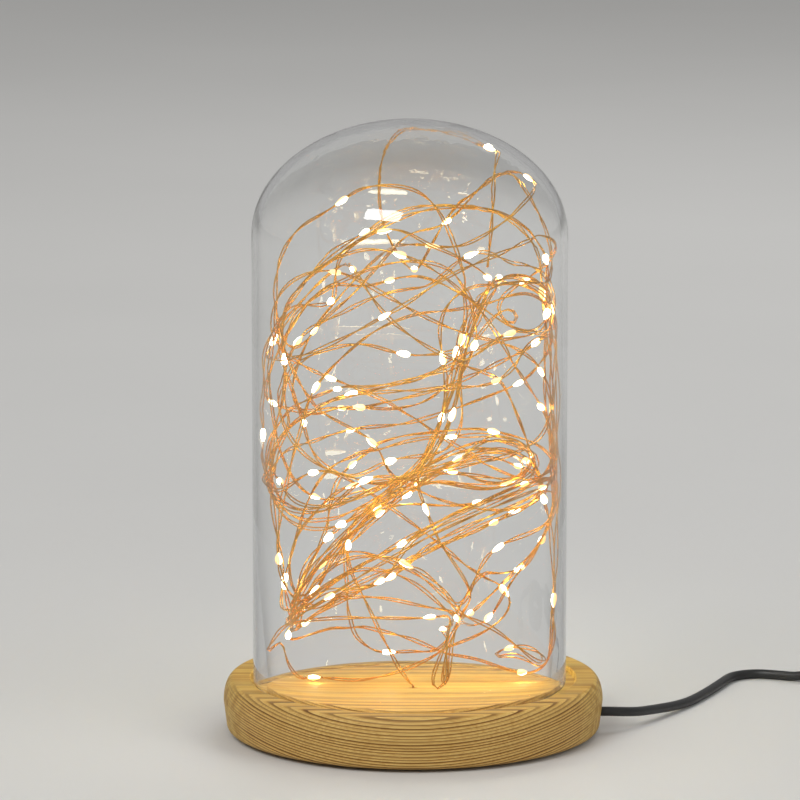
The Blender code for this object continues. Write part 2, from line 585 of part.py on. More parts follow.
def seen_places(points):
    """Where VIEWPOINT sees points, as (across, up) on the lamp's middle plane, in metres."""
    eye = np.array(VIEWPOINT)
    share = eye[1] / (eye[1] - points[:, 1])
    return (eye + (points - eye) * share[:, None])[:, [0, 2]]


def stem_length():
    """How far the string runs from the board up to the wood disc."""
    return WOOD_TOP - BOARD_TOP - SEAT


def smoothed(field, passes):
    for _ in range(passes):
        field[1:-1] = 0.25 * field[:-2] + 0.5 * field[1:-1] + 0.25 * field[2:]
    return field


def nest_points():
    """The string's centre line: up from the board through the wood, then along its route."""
    free = DOME_RADIUS - DOME_WALL - DROP_RADIUS - WALL_CLEARANCE
    knots = [np.array([0.0, 0.0, height]) for height in (-stem_length(), -0.5 * stem_length(), 0.0)]
    knots.append(np.array(FIRST_BEND))
    for share, shift_across, shift_up, places in STRING_ROUTE:
        for across, up in places:
            out = (across + shift_across) * MM - DOME_X
            depth = share * math.sqrt(max(free**2 - out**2, LEAST_DEPTH**2))
            knots.append(on_sight_line(across + shift_across, up + shift_up, depth))
    count = STEPS_PER_PLACE * (len(knots) - 1) + 1
    dense = [catmull(knots, k / STEPS_PER_PLACE) for k in range(count)]
    line = even_points(np.array(dense), ROUTE_STEP)
    rounded = smoothed(line.copy(), ROUNDING_PASSES)
    held = distances(line) < stem_length() + ROUTE_STEP
    rounded[held] = line[held]
    return even_points(rounded, ROUTE_STEP)


def match_lights(line):
    """For each LED, the number of its point on the line and of its place, if one is near enough."""
    along = distances(line)
    seen = seen_places(line) / MM
    choices = []
    leds = []
    for led in range(int((along[-1] - FIRST_LED - DROP_LENGTH) / LED_PITCH) + 1):
        even_place = FIRST_LED + LED_PITCH * led
        leds.append(int(np.argmin(np.abs(along - even_place))))
        near = np.flatnonzero(np.abs(along - even_place) < LED_SLIDE)
        for number, place in enumerate(LED_PLACES):
            miss = np.hypot(seen[near, 0] - place[0], seen[near, 1] - place[1])
            best = int(np.argmin(miss))
            slide = abs(along[near[best]] - even_place) / MM
            choices.append((miss[best] + SLIDE_COST * slide, led, number, int(near[best])))
    matched = {}
    for miss, led, number, at in sorted(choices):
        taken = led in matched or number in matched.values()
        if not taken and miss * MM < LED_REACH:
            matched[led] = number
            leds[led] = at
    return leds, matched


def place_lights(line):
    """The point of each LED on the line, and the line drawn over to where the LEDs show."""
    along = distances(line)
    leds, matched = match_lights(line)
    moved = line.copy()
    for led, number in matched.items():
        at = leds[led]
        pull = on_sight_line(*LED_PLACES[number], line[at, 1]) - line[at]
        width = max(PULL_WIDTH, PULL_SPREAD * float(np.linalg.norm(pull)))
        share = np.clip(1.0 - np.abs(along - along[at]) / width, 0.0, 1.0)
        moved += (share * share * (3 - 2 * share))[:, None] * pull
    return moved, leds


def room_needed(line, leds):
    """How far the string's centre stays from what is round it: the wire's own room, and more near an LED."""
    along = distances(line)
    needed = np.full(len(line), WIRE_RADIUS)
    for at in leds:
        away = np.abs(along - along[at])
        near = np.clip((LED_ROOM - away) / (LED_ROOM - 0.5 * DROP_LENGTH), 0.0, 1.0)
        needed = np.maximum(needed, WIRE_RADIUS + (DROP_RADIUS - WIRE_RADIUS) * near)
    return needed + WALL_CLEARANCE


def keep_inside(points, fixed, needed):
    """Points moved in from the glass and up from the wood, apart from the first few, which stay."""
    crown_foot = DOME_FOOT + DOME_HEIGHT - CROWN_RISE - WOOD_TOP
    middle = np.array([DOME_X, 0.0])
    offset = points[:, :2] - middle
    above = np.maximum(points[:, 2] - crown_foot, 0.0)
    out = np.linalg.norm(offset, axis=1) / (DOME_RADIUS - DOME_WALL - needed)
    share = 1.0 / np.maximum(np.hypot(out, above / (CROWN_RISE - DOME_WALL - needed)), 1.0)
    kept = points.copy()
    kept[:, :2] = middle + offset * share[:, None]
    kept[:, 2] = np.maximum(points[:, 2] - above * (1.0 - share), needed)
    kept[:fixed] = points[:fixed]
    return kept


def sample_line(points, spacing):
    """Samples on a line's straight runs: places, the run of each, and how far along its run it is."""
    steps = np.linalg.norm(np.diff(points, axis=0), axis=1)
    runs = []
    shares = []
    for k, step in enumerate(steps):
        count = max(int(math.ceil(step / spacing)), 1)
        runs += [k] * count
        shares += [j / count for j in range(count)]
    runs = np.array(runs)
    shares = np.array(shares)
    places = points[runs] * (1 - shares)[:, None] + points[runs + 1] * shares[:, None]
    along = np.concatenate([[0.0], np.cumsum(steps)])[runs] + shares * steps[runs]
    return places, runs, shares, along


def close_pairs(places, radii, along, reach, apart):
    """Pairs of samples nearer than reach in space, but further than apart along the line."""
    tree = KDTree(len(places))
    for k, place in enumerate(places):
        tree.insert(place, k)
    tree.balance()
    found = []
    for k, place in enumerate(places):
        for _, other, distance in tree.find_range(place, reach):
            if other > k and abs(along[other] - along[k]) > apart:
                found.append((k, other, distance - radii[k] - radii[other]))
    return found


def with_drops(dense, leds):
    """A coarser line with an LED's drop let in at each LED, and each point's radius as a share.

    Also the first point of each drop, and how many points are in the stem.
    """
    along = distances(dense)
    fullest = DROP_RADIUS / WIRE_RADIUS
    starts = [along[at] - 0.5 * DROP_LENGTH for at in leds]
    rows = []
    for start in starts:
        rows.append((start, 1.0))
        rows.append((start + DROP_FULL_SHARE * DROP_LENGTH, fullest))
        rows.append((start + DROP_LENGTH, 1.0))
    stem = [0.0, 2 * WIRE_RADIUS, stem_length()]
    count = int((along[-1] - stem_length()) / TUBE_STEP) + 1
    for at in stem + list(np.linspace(stem_length(), along[-1], count + 1)[1:]):
        if all(at < start - DROP_MARGIN or at > start + DROP_LENGTH + DROP_MARGIN for start in starts):
            rows.append((at, 1.0))
    rows.sort()
    places = np.array([row[0] for row in rows])
    shares = np.array([row[1] for row in rows])
    line = np.column_stack([np.interp(places, along, dense[:, axis]) for axis in range(3)])
    drops = [int(np.searchsorted(places, start)) for start in sorted(starts)]
    for first in drops:
        line[first + 1] = line[first] + (line[first + 2] - line[first]) * DROP_FULL_SHARE
    return line, shares, drops, len(stem)


def loosen(line, shares, drops, fixed):
    """The string moved until no stretch of it lies nearer to another than WIRE_GAP."""
    needed = room_needed(line, [first + 1 for first in drops])
    line = keep_inside(line, fixed, needed)
    wanted = 1.3 * WIRE_GAP
    for _ in range(LOOSEN_ROUNDS):
        places, runs, steps, along = sample_line(line, SAMPLE_STEP)
        radii = WIRE_RADIUS * (shares[runs] * (1 - steps) + shares[runs + 1] * steps)
        pairs = close_pairs(places, radii, along, 2 * DROP_RADIUS + wanted, APART_ALONG)
        tight = [pair for pair in pairs if pair[2] < 1.1 * WIRE_GAP]
        if not tight:
            break
        push = np.zeros_like(line)
        weight = np.zeros(len(line))
        for first, second, gap in tight:
            away = places[first] - places[second]
            size = np.linalg.norm(away)
            away = away / size if size > 0.01 * MM else np.array([0.6, 0.0, 0.8])
            move = away * (wanted - gap) * 0.6
            for which, sign in ((first, 1.0), (second, -1.0)):
                for end, share in ((runs[which], 1 - steps[which]), (runs[which] + 1, steps[which])):
                    push[end] += sign * share * move
                    weight[end] += share
        push /= np.maximum(weight, 0.5)[:, None]
        for first in drops:
            group = slice(first, first + 3)
            push[group] = push[group].mean(axis=0)
        push[:fixed] = 0.0
        line = keep_inside(line + push, fixed, needed)
    return line


def least_gap(points, shares, radius, apart):
    """The least distance between the surfaces of a tube's stretches, measured on points."""
    places, runs, steps, along = sample_line(points, SAMPLE_STEP)
    radii = radius * (shares[runs] * (1 - steps) + shares[runs + 1] * steps)
    pairs = close_pairs(places, radii, along, 2 * max(radii) + 2.0 * MM, apart)
    return min([pair[2] for pair in pairs], default=2.0 * MM)


def line_length(points):
    return float(np.linalg.norm(np.diff(points, axis=0), axis=1).sum())


def add_dome(look):
    inner = DOME_RADIUS - DOME_WALL
    crown_foot = DOME_HEIGHT - CROWN_RISE
    lip = DOME_WALL / 2
    outline = arc((inner + lip, lip), (lip, lip), 180.0, 360.0, 4)
    outline += arc((0.0, crown_foot), (DOME_RADIUS, CROWN_RISE), 0.0, 90.0, CROWN_STEPS)
    outline += arc((0.0, crown_foot), (inner, CROWN_RISE - DOME_WALL), 90.0, 0.0, CROWN_STEPS)
    dome = add_turned("glass_dome", outline, look, ROUND_SIDES)
    dome.location = (DOME_X, 0.0, DOME_FOOT)
    return dome


def wood_outline():
    """The base's section, from the wire hole's top edge out over the rim and back along the underside."""
    edge = GROOVE_EDGE
    land = BASE_RADIUS - RIM_SWELL
    widest = WOOD_TOP - RIM_DROP
    foot = BASE_RADIUS - SIDE_TAPER
    outline = [(WIRE_HOLE_RADIUS, WOOD_TOP)]
    outline += arc((DISC_RADIUS - edge, WOOD_TOP - edge), (edge, edge), 90.0, 0.0, 1)
    outline += arc((DISC_RADIUS + edge, GROOVE_FLOOR + edge), (edge, edge), 180.0, 270.0, 1)
    outline += arc((GROOVE_RADIUS - edge, GROOVE_FLOOR + edge), (edge, edge), 270.0, 360.0, 1)
    outline += arc((GROOVE_RADIUS + edge, WOOD_TOP - edge), (edge, edge), 180.0, 90.0, 1)
    outline += arc((land, widest), (RIM_SWELL, RIM_DROP), 90.0, 0.0, 5)
    low = (foot - BOTTOM_ROUND, WOOD_BOTTOM + BOTTOM_ROUND)
    outline += arc(low, (BOTTOM_ROUND, BOTTOM_ROUND), 0.0, -90.0, 3)
    outline += [(COVER_RADIUS, WOOD_BOTTOM), (COVER_RADIUS, REBATE_ROOF)]
    outline += [(POCKET_RADIUS, REBATE_ROOF), (POCKET_RADIUS, POCKET_ROOF)]
    outline += [(WIRE_HOLE_RADIUS, POCKET_ROOF)]
    return outline


def ring_places(count, radius, first_angle):
    made = []
    for k in range(count):
        angle = first_angle + math.tau * k / count
        made.append((radius * math.cos(angle), radius * math.sin(angle)))
    return made


def cover_screw_places():
    ring = (POCKET_RADIUS + COVER_RADIUS) / 2
    return ring_places(COVER_SCREWS, ring, math.radians(60.0))


def board_screw_places():
    return [(0.0, -BOARD_SCREW_SPAN / 2), (0.0, BOARD_SCREW_SPAN / 2)]


def clamp_screw_places():
    reach = CORD_RADIUS + SEAT + CLAMP_THICKNESS + CLAMP_FOOT / 2
    return [(CLAMP_CENTRE, -reach), (CLAMP_CENTRE, reach)]


def rod_outline(radius, low, high):
    return [(0.0, low), (radius, low), (radius, high), (0.0, high)]


def add_hole(target, name, at, radius, low, high, look=None):
    tool = add_turned(name, rod_outline(radius, low, high), look, SMALL_SIDES, hidden=True)
    tool.location = (at[0], at[1], 0.0)
    cut(target, tool)


def add_wood_base(look):
    base = add_turned("wood_base", wood_outline(), look, ROUND_SIDES)
    bore = CORD_RADIUS + HOLE_PLAY
    sideways = Matrix.Translation((0.0, 0.0, CORD_EXIT_HEIGHT)) @ Matrix.Rotation(math.pi / 2, 4, "Y")
    outline = rod_outline(bore, POCKET_RADIUS - 3 * MM, BASE_RADIUS + 3 * MM)
    cut(base, add_turned("cord_channel_cutter", outline, None, SMALL_SIDES, sideways, hidden=True))
    for k, at in enumerate(cover_screw_places()):
        roof = COVER_SCREW_LENGTH + WOOD_BOTTOM + HOLE_PLAY
        radius = COVER_SCREW_RADIUS + HOLE_PLAY
        add_hole(base, f"cover_pilot_cutter_{k + 1}", at, radius, REBATE_ROOF - 1 * MM, roof)
    for k, at in enumerate(board_screw_places()):
        radius = BOARD_SCREW_RADIUS + HOLE_PLAY
        roof = POCKET_ROOF + BOARD_SCREW_BITE + HOLE_PLAY
        add_hole(base, f"board_pilot_cutter_{k + 1}", at, radius, POCKET_ROOF - 1 * MM, roof)
    for k, at in enumerate(clamp_screw_places()):
        radius = CLAMP_SCREW_RADIUS + HOLE_PLAY
        roof = POCKET_ROOF + CLAMP_SCREW_BITE + HOLE_PLAY
        add_hole(base, f"clamp_pilot_cutter_{k + 1}", at, radius, POCKET_ROOF - 1 * MM, roof)
    return base


def countersunk_outline(head, shank, length, play=0.0):
    """A flat-headed screw, head down, its head's face at height 0."""
    slope = head - shank
    return [
        (0.0, 0.0),
        (head + play, 0.0),
        (shank + play, slope),
        (shank + play, length),
        (0.0, length + 0.5 * shank),
    ]


def add_cover(look, screw_look):
    edge = 0.4 * MM
    radius = COVER_RADIUS - COVER_SIDE_PLAY
    outline = [
        (0.0, WOOD_BOTTOM),
        (radius - edge, WOOD_BOTTOM),
        (radius, WOOD_BOTTOM + edge),
        (radius, COVER_TOP),
        (0.0, COVER_TOP),
    ]
    cover = add_turned("bottom_cover", outline, look, COVER_SIDES)
    for k, at in enumerate(cover_screw_places()):
        number = k + 1
        tool_outline = countersunk_outline(COVER_HEAD_RADIUS, COVER_SCREW_RADIUS, 5 * MM, HOLE_PLAY)
        tool_outline = [(0.0, -1 * MM), (COVER_HEAD_RADIUS + HOLE_PLAY, -1 * MM)] + tool_outline[1:]
        tool = add_turned(f"countersink_cutter_{number}", tool_outline, None, hidden=True)
        tool.location = (at[0], at[1], WOOD_BOTTOM)
        cut(cover, tool)
        outline = countersunk_outline(COVER_HEAD_RADIUS, COVER_SCREW_RADIUS, COVER_SCREW_LENGTH - 1 * MM)
        screw = add_turned(f"cover_screw_{number}", outline, screw_look)
        screw.location = (at[0], at[1], WOOD_BOTTOM)


def add_feet(look):
    edge = 0.25 * MM
    outline = [
        (0.0, 0.0),
        (FOOT_RADIUS - edge, 0.0),
        (FOOT_RADIUS, edge),
        (FOOT_RADIUS, FOOT_THICKNESS),
        (0.0, FOOT_THICKNESS),
    ]
    places = ring_places(FOOT_COUNT, BASE_RADIUS - FOOT_INSET - FOOT_RADIUS, math.radians(45.0))
    for k, at in enumerate(places):
        pad = add_turned(f"foot_pad_{k + 1}", outline, look)
        pad.location = (at[0], at[1], 0.0)


def add_board(board_look, resistor_look, spacer_look, screw_look):
    half_x, half_y = BOARD_SIZE[0] / 2, BOARD_SIZE[1] / 2
    outline = rounded_outline(half_x, half_y, 1.5 * MM, 2)
    sections = [[(x, y, z) for x, y in outline] for z in (BOARD_BOTTOM, BOARD_TOP)]
    board = add_object("circuit_board", mesh_from(loft(sections), "circuit_board"), board_look)
    room = POCKET_ROOF - BOARD_TOP
    bore = BOARD_SCREW_RADIUS + HOLE_PLAY
    for k, at in enumerate(board_screw_places()):
        number = k + 1
        add_hole(board, f"board_hole_cutter_{number}", at, bore, BOARD_BOTTOM - 1 * MM, BOARD_TOP + 1 * MM)
        low, high = BOARD_TOP + SEAT, POCKET_ROOF - SEAT
        outer = bore + SPACER_WALL
        section = [(bore, low), (outer, low), (outer, high), (bore, high)]
        spacer = add_turned(f"board_spacer_{number}", section, spacer_look)
        spacer.location = (at[0], at[1], 0.0)
        head = BOARD_BOTTOM - SEAT
        section = [
            (0.0, head - BOARD_HEAD_THICKNESS),
            (bore + 0.4 * MM, head - BOARD_HEAD_THICKNESS),
            (bore + 0.8 * MM, head),
            (BOARD_SCREW_RADIUS, head),
            (BOARD_SCREW_RADIUS, POCKET_ROOF + BOARD_SCREW_BITE - BOARD_SCREW_RADIUS),
            (0.0, POCKET_ROOF + BOARD_SCREW_BITE),
        ]
        screw = add_turned(f"board_screw_{number}", section, screw_look)
        screw.location = (at[0], at[1], 0.0)
    edge = 0.4 * MM
    half = RESISTOR_LENGTH / 2
    radius = min(RESISTOR_RADIUS, (room - 2 * SEAT) / 2)
    section = [
        (0.0, -half),
        (radius - edge, -half),
        (radius, edge - half),
        (radius, half - edge),
        (radius - edge, half),
        (0.0, half),
    ]
    place = Matrix.Translation((RESISTOR_X, 0.0, BOARD_TOP + SEAT + radius))
    place = place @ Matrix.Rotation(math.pi / 2, 4, "X")
    add_turned("ballast_resistor", section, resistor_look, 12, place)


def add_clamp(look, screw_look):
    """A saddle that holds the cord up against the pocket's roof."""
    inner = CORD_RADIUS + SEAT
    outer = inner + CLAMP_THICKNESS
    high = POCKET_ROOF - SEAT
    low = high - CLAMP_THICKNESS
    reach = outer + CLAMP_FOOT
    middle = (0.0, CORD_EXIT_HEIGHT)
    section = [(-reach, high), (-reach, low), (-outer, low)]
    section += arc(middle, (outer, outer), 180.0, 360.0, 8)
    section += [(outer, low), (reach, low), (reach, high)]
    section += [(inner, high)]
    section += arc(middle, (inner, inner), 360.0, 180.0, 8)
    section += [(-inner, high)]
    ends = (CLAMP_CENTRE - CLAMP_WIDTH / 2, CLAMP_CENTRE + CLAMP_WIDTH / 2)
    sections = [[(x, y, z) for y, z in section] for x in ends]
    clamp = add_object("cord_clamp", mesh_from(loft(sections), "cord_clamp"), look)
    bore = CLAMP_SCREW_RADIUS + HOLE_PLAY
    head = low - SEAT
    for k, at in enumerate(clamp_screw_places()):
        add_hole(clamp, f"clamp_hole_cutter_{k + 1}", at, bore, low - 1 * MM, high + 1 * MM)
        outline = [
            (0.0, head - 0.9 * MM),
            (bore + 0.3 * MM, head - 0.9 * MM),
            (bore + 0.6 * MM, head),
            (CLAMP_SCREW_RADIUS, head),
            (CLAMP_SCREW_RADIUS, POCKET_ROOF + CLAMP_SCREW_BITE - CLAMP_SCREW_RADIUS),
            (0.0, POCKET_ROOF + CLAMP_SCREW_BITE),
        ]
        screw = add_turned(f"clamp_screw_{k + 1}", outline, screw_look, 12)
        screw.location = (at[0], at[1], 0.0)


def add_inner_leads(cord_look, red_look):
    """The cord's stretch inside the base, and its two cores from the jacket's end to the board."""
    end = RUN_TO_SWITCH[0][0] * MM - SEAT
    places = np.linspace(CORD_TAIL_END, end, 4)
    add_tube("cord_tail", [(x, 0.0, CORD_EXIT_HEIGHT) for x in places], CORD_RADIUS, cord_look)
    near = CORD_TAIL_END - SEAT
    board_edge = BOARD_SIZE[0] / 2
    apart = LEAD_RADIUS + SEAT
    for name, sign, look in (("core_red", 1, red_look), ("core_black", -1, cord_look)):
        route = []
        for k in range(9):
            t = k / 8
            ease = t * t * (3 - 2 * t)
            x = near + (board_edge - 2 * MM - near) * t
            route.append((x, sign * (apart + (LEAD_SPREAD - apart) * ease), CORD_EXIT_HEIGHT))
        add_tube(name, route, LEAD_RADIUS, look, sides_setting=1)


def add_string(look):
    nest = nest_points()
    in_stem = int((distances(nest) < stem_length() + ROUTE_STEP).sum())
    dense, leds = place_lights(keep_inside(nest, in_stem, room_needed(nest, ())))
    line, shares, drops, fixed = with_drops(dense, leds)
    line = loosen(line, shares, drops, fixed)
    line[:, 2] += WOOD_TOP
    gap = least_gap(line, shares, WIRE_RADIUS, APART_ALONG)
    print(f"led_string: {line_length(line):.2f} m, {len(drops)} LEDs, least gap to itself {gap / MM:.2f} mm")
    add_tube("led_string", [tuple(point) for point in line], WIRE_RADIUS, look, shares, 0)


def coil_points():
    """Two layers of turns: in along the lower one, a climbing half turn, and out along the upper one."""
    pitch = 2 * CORD_RADIUS + COIL_GAP
    low = CORD_RADIUS + 0.05 * MM
    middle = COIL_TURNS_PER_LAYER
    count = 2 * middle * COIL_POINTS
    start = (COIL_CENTRE[0] + COIL_OUTER, COIL_CENTRE[1])
    made = [(start[0], start[1] + 2 * CORD_RADIUS, low)]
    for k in range(count + 1):
        turn = k / COIL_POINTS
        climb = min(max((turn - middle + 0.25) / 0.5, 0.0), 1.0)
        layers = climb * climb * (3 - 2 * climb)
        radius = COIL_OUTER - pitch * (middle - abs(turn - middle))
        angle = -math.tau * turn
        x = COIL_CENTRE[0] + radius * math.cos(angle)
        y = COIL_CENTRE[1] + radius * math.sin(angle)
        made.append((x, y, low + pitch * layers))
    made.append((start[0], start[1] - 2 * CORD_RADIUS, low + pitch))
    return np.array(made)


def add_cord(look):
    coil = coil_points()
    gap = least_gap(coil, np.ones(len(coil)), CORD_RADIUS, COIL_APART_ALONG)
    add_tube("power_cord_coil", [tuple(point) for point in coil], CORD_RADIUS, look, None, 1)
    whole = line_length(coil)
    for name, route in (
        ("power_cord_run_1", RUN_TO_SWITCH),
        ("power_cord_run_2", RUN_TO_COIL),
        ("power_cord_run_3", RUN_TO_PLUG),
    ):
        points = smooth_route(route, 4.0 * CORD_RADIUS)
        whole += line_length(points)
        add_tube(name, [tuple(point) for point in points], CORD_RADIUS, look)
    print(f"power cord: {whole:.2f} m, coil's least gap to itself {gap / MM:.2f} mm")


def shell_sections(levels):
    """Rounded outlines at (height, inset) levels, for one half of the switch's housing."""
    made = []
    for height, inset in levels:
        half_x = SWITCH_LENGTH / 2 - inset
        half_y = SWITCH_WIDTH / 2 - inset
        outline = rounded_outline(half_x, half_y, SWITCH_CORNER - inset, 3)
        made.append([(x, y, height) for x, y in outline])
    return made


def switch_bore_cutters(parent):
    """Bores at both ends of the housing, half in each shell."""
    made = []
    for sign, name in ((-1, "switch_bore_cutter_in"), (1, "switch_bore_cutter_out")):
        start = SWITCH_LENGTH / 2 - SWITCH_BORE_DEPTH
        outline = rod_outline(CORD_RADIUS + HOLE_PLAY, start, SWITCH_LENGTH / 2 + 2 * MM)
        turn = Matrix.Rotation(sign * math.pi / 2, 4, "Y")
        place = Matrix.Translation((0.0, 0.0, SWITCH_HALF_HEIGHT)) @ turn
        made.append(add_turned(name, outline, None, SMALL_SIDES, place, parent, hidden=True))
    return made


def rocker_outline():
    """The rocker's side view about its pivot: two tilted keys that meet in a shallow valley."""
    half = ROCKER_LENGTH / 2
    waist = ROCKER_PIN_RADIUS + 1.0 * MM
    return [
        (-half, ROCKER_RISE),
        (-half, -0.5 * MM),
        (-waist, -ROCKER_DIP),
        (waist, -ROCKER_DIP),
        (half, -0.5 * MM),
        (half, ROCKER_RISE),
        (0.5 * half, ROCKER_RISE - 0.35 * MM),
        (0.0, ROCKER_RISE - 0.9 * MM),
        (-0.5 * half, ROCKER_RISE - 0.35 * MM),
    ]


def add_rocker(look, place):
    pivot = add_empty("rocker_pivot", place @ Matrix.Translation((0.0, 0.0, SWITCH_PIVOT_HEIGHT)))
    half = ROCKER_WIDTH / 2
    sections = [[(x, y, z) for x, z in rocker_outline()] for y in (-half, half)]
    rocker = add_object("switch_rocker", mesh_from(loft(sections), "switch_rocker"), look, pivot)
    reach = half + ROCKER_PIN_REACH
    turned = Matrix.Rotation(math.pi / 2, 4, "X")
    outline = rod_outline(ROCKER_PIN_RADIUS, -reach, reach)
    pin = add_turned("rocker_pin_helper", outline, None, 12, turned, pivot, hidden=True)
    joined = rocker.modifiers.new("pins", "BOOLEAN")
    joined.operation = "UNION"
    joined.solver = "EXACT"
    joined.object = pin
    pivot.rotation_mode = "XYZ"
    pivot.matrix_world = pivot.matrix_world @ Matrix.Rotation(-ROCKER_TILT, 4, "Y")


def add_switch(shell_look, rocker_look, brass_look, screw_look):
    place = Matrix.Translation((*SWITCH_CENTRE, 0.0)) @ Matrix.Rotation(SWITCH_HEADING, 4, "Z")
    frame = add_empty("switch_frame", place)
    split = SWITCH_HALF_HEIGHT
    half_seat = SEAT / 2
    lower = add_object(
        "switch_lower_shell",
        mesh_from(
            loft(shell_sections([(0.0, SWITCH_EDGE), (SWITCH_EDGE, 0.0), (split - half_seat, 0.0)])),
            "switch_lower_shell",
        ),
        shell_look,
        frame,
    )
    top = 2 * split
    upper = add_object(
        "switch_upper_shell",
        mesh_from(
            loft(shell_sections([(split + half_seat, 0.0), (top - SWITCH_EDGE, 0.0), (top, SWITCH_EDGE)])),
            "switch_upper_shell",
        ),
        shell_look,
        frame,
    )
    window_x = ROCKER_LENGTH / 2 + ROCKER_WINDOW_PLAY
    window_y = ROCKER_WIDTH / 2 + ROCKER_SIDE_PLAY
    well = add_block(
        "switch_well_cutter",
        (-window_x, -window_y, SWITCH_FLOOR),
        (window_x, window_y, top + 1 * MM),
        None,
        frame,
        hidden=True,
    )
    slot_x = ROCKER_PIN_RADIUS + SEAT
    slot_y = ROCKER_WIDTH / 2 + ROCKER_PIN_REACH + SEAT
    slots = add_block(
        "switch_pin_slot_cutter",
        (-slot_x, -slot_y, split - 1.5 * MM),
        (slot_x, slot_y, SWITCH_PIVOT_HEIGHT + slot_x),
        None,
        frame,
        hidden=True,
    )
    cutters = switch_bore_cutters(frame) + [well]
    for shell in (lower, upper):
        for cutter in cutters:
            cut(shell, cutter)
    cut(upper, slots)
    add_switch_screws(lower, upper, frame, screw_look)
    length, width, thickness = CONTACT_SIZE
    for number, sign in ((1, -1), (2, 1)):
        middle = sign * (window_x - SEAT - length / 2)
        low = (middle - length / 2, -width / 2, SWITCH_FLOOR + SEAT)
        high = (middle + length / 2, width / 2, SWITCH_FLOOR + SEAT + thickness)
        add_block(f"switch_contact_{number}", low, high, brass_look, frame)
    add_rocker(rocker_look, place)


def add_switch_screws(lower, upper, frame, look):
    """Two screws from below, at opposite corners of the housing."""
    span_x, span_y = SWITCH_SCREW_SPAN
    seat_height = SWITCH_HEAD_THICKNESS + 0.4 * MM
    for number, sign in ((1, -1), (2, 1)):
        at = (sign * span_x / 2, -sign * span_y / 2)
        bore = SWITCH_SCREW_RADIUS + HOLE_PLAY
        head_bore = SWITCH_HEAD_RADIUS + HOLE_PLAY
        tip = seat_height + SWITCH_SCREW_LENGTH
        outline = [
            (0.0, -1 * MM),
            (head_bore, -1 * MM),
            (head_bore, seat_height + SEAT),
            (bore, seat_height + SEAT),
            (bore, tip + HOLE_PLAY),
            (0.0, tip + HOLE_PLAY),
        ]
        tool = add_turned(f"switch_screw_cutter_{number}", outline, None, 12, None, frame, hidden=True)
        tool.location = (at[0], at[1], 0.0)
        cut(lower, tool)
        cut(upper, tool)
        outline = [
            (0.0, 0.4 * MM),
            (SWITCH_HEAD_RADIUS, 0.4 * MM),
            (SWITCH_HEAD_RADIUS, seat_height),
            (SWITCH_SCREW_RADIUS, seat_height),
            (SWITCH_SCREW_RADIUS, tip - SWITCH_SCREW_RADIUS),
            (0.0, tip),
        ]
        screw = add_turned(f"switch_screw_{number}", outline, look, 12, None, frame)
        screw.location = (at[0], at[1], 0.0)


def plug_section(along, half_width, half_height, corner):
    """One ring of the plug's moulding, across its length. The plug points to -X."""
    outline = rounded_outline(half_width, half_height, min(corner, half_height, half_width), 3)
    return [(-along, y, PLUG_HALF_HEIGHT + z) for y, z in outline]


def add_plug(body_look, metal_look, tongue_look, brass_look):
    frame = add_empty("plug_frame", Matrix.Translation((*PLUG_NECK_END, 0.0)))
    neck = CORD_RADIUS + PLUG_NECK_WALL
    shoulder = PLUG_NECK_LENGTH + 3.0 * MM
    body_end = PLUG_NECK_LENGTH + PLUG_BODY_LENGTH
    edge = 0.6 * MM
    sections = [
        plug_section(0.0, neck, neck, neck),
        plug_section(PLUG_NECK_LENGTH, neck + 0.8 * MM, PLUG_HALF_HEIGHT - 0.6 * MM, neck),
        plug_section(shoulder, PLUG_HALF_WIDTH - edge, PLUG_HALF_HEIGHT - 0.2 * MM, 3.0 * MM),
        plug_section(shoulder + 2.0 * MM, PLUG_HALF_WIDTH, PLUG_HALF_HEIGHT, 2.6 * MM),
        plug_section(body_end - edge, PLUG_HALF_WIDTH, PLUG_HALF_HEIGHT, 2.4 * MM),
        plug_section(body_end, PLUG_HALF_WIDTH - edge, PLUG_HALF_HEIGHT - edge, 2.0 * MM),
    ]
    body = add_object("usb_overmould", mesh_from(loft(sections), "usb_overmould"), body_look, frame)
    shell_y, shell_z = PLUG_SHELL_SIZE[0] / 2, PLUG_SHELL_SIZE[1] / 2
    start = body_end - PLUG_SHELL_SEAT
    tip = body_end + PLUG_SHELL_REACH
    wall = PLUG_SHELL_WALL
    socket = add_block(
        "plug_socket_cutter",
        (-body_end - 1 * MM, -shell_y - SEAT, PLUG_HALF_HEIGHT - shell_z - SEAT),
        (-start + SEAT, shell_y + SEAT, PLUG_HALF_HEIGHT + shell_z + SEAT),
        None,
        frame,
        hidden=True,
    )
    cut(body, socket)
    neck_bore = rod_outline(CORD_RADIUS + HOLE_PLAY, -1 * MM, 5 * MM)
    turn = Matrix.Translation((0.0, 0.0, PLUG_HALF_HEIGHT)) @ Matrix.Rotation(-math.pi / 2, 4, "Y")
    cut(body, add_turned("plug_neck_cutter", neck_bore, None, 12, turn, frame, hidden=True))
    shell = add_block(
        "usb_shell",
        (-tip, -shell_y, PLUG_HALF_HEIGHT - shell_z),
        (-start, shell_y, PLUG_HALF_HEIGHT + shell_z),
        metal_look,
        frame,
    )
    hollow = add_block(
        "usb_shell_cutter",
        (-tip - 1 * MM, -shell_y + wall, PLUG_HALF_HEIGHT - shell_z + wall),
        (-start + 1 * MM, shell_y - wall, PLUG_HALF_HEIGHT + shell_z - wall),
        None,
        frame,
        hidden=True,
    )
    cut(shell, hollow)
    add_plug_tongue(tongue_look, brass_look, frame, start, tip)


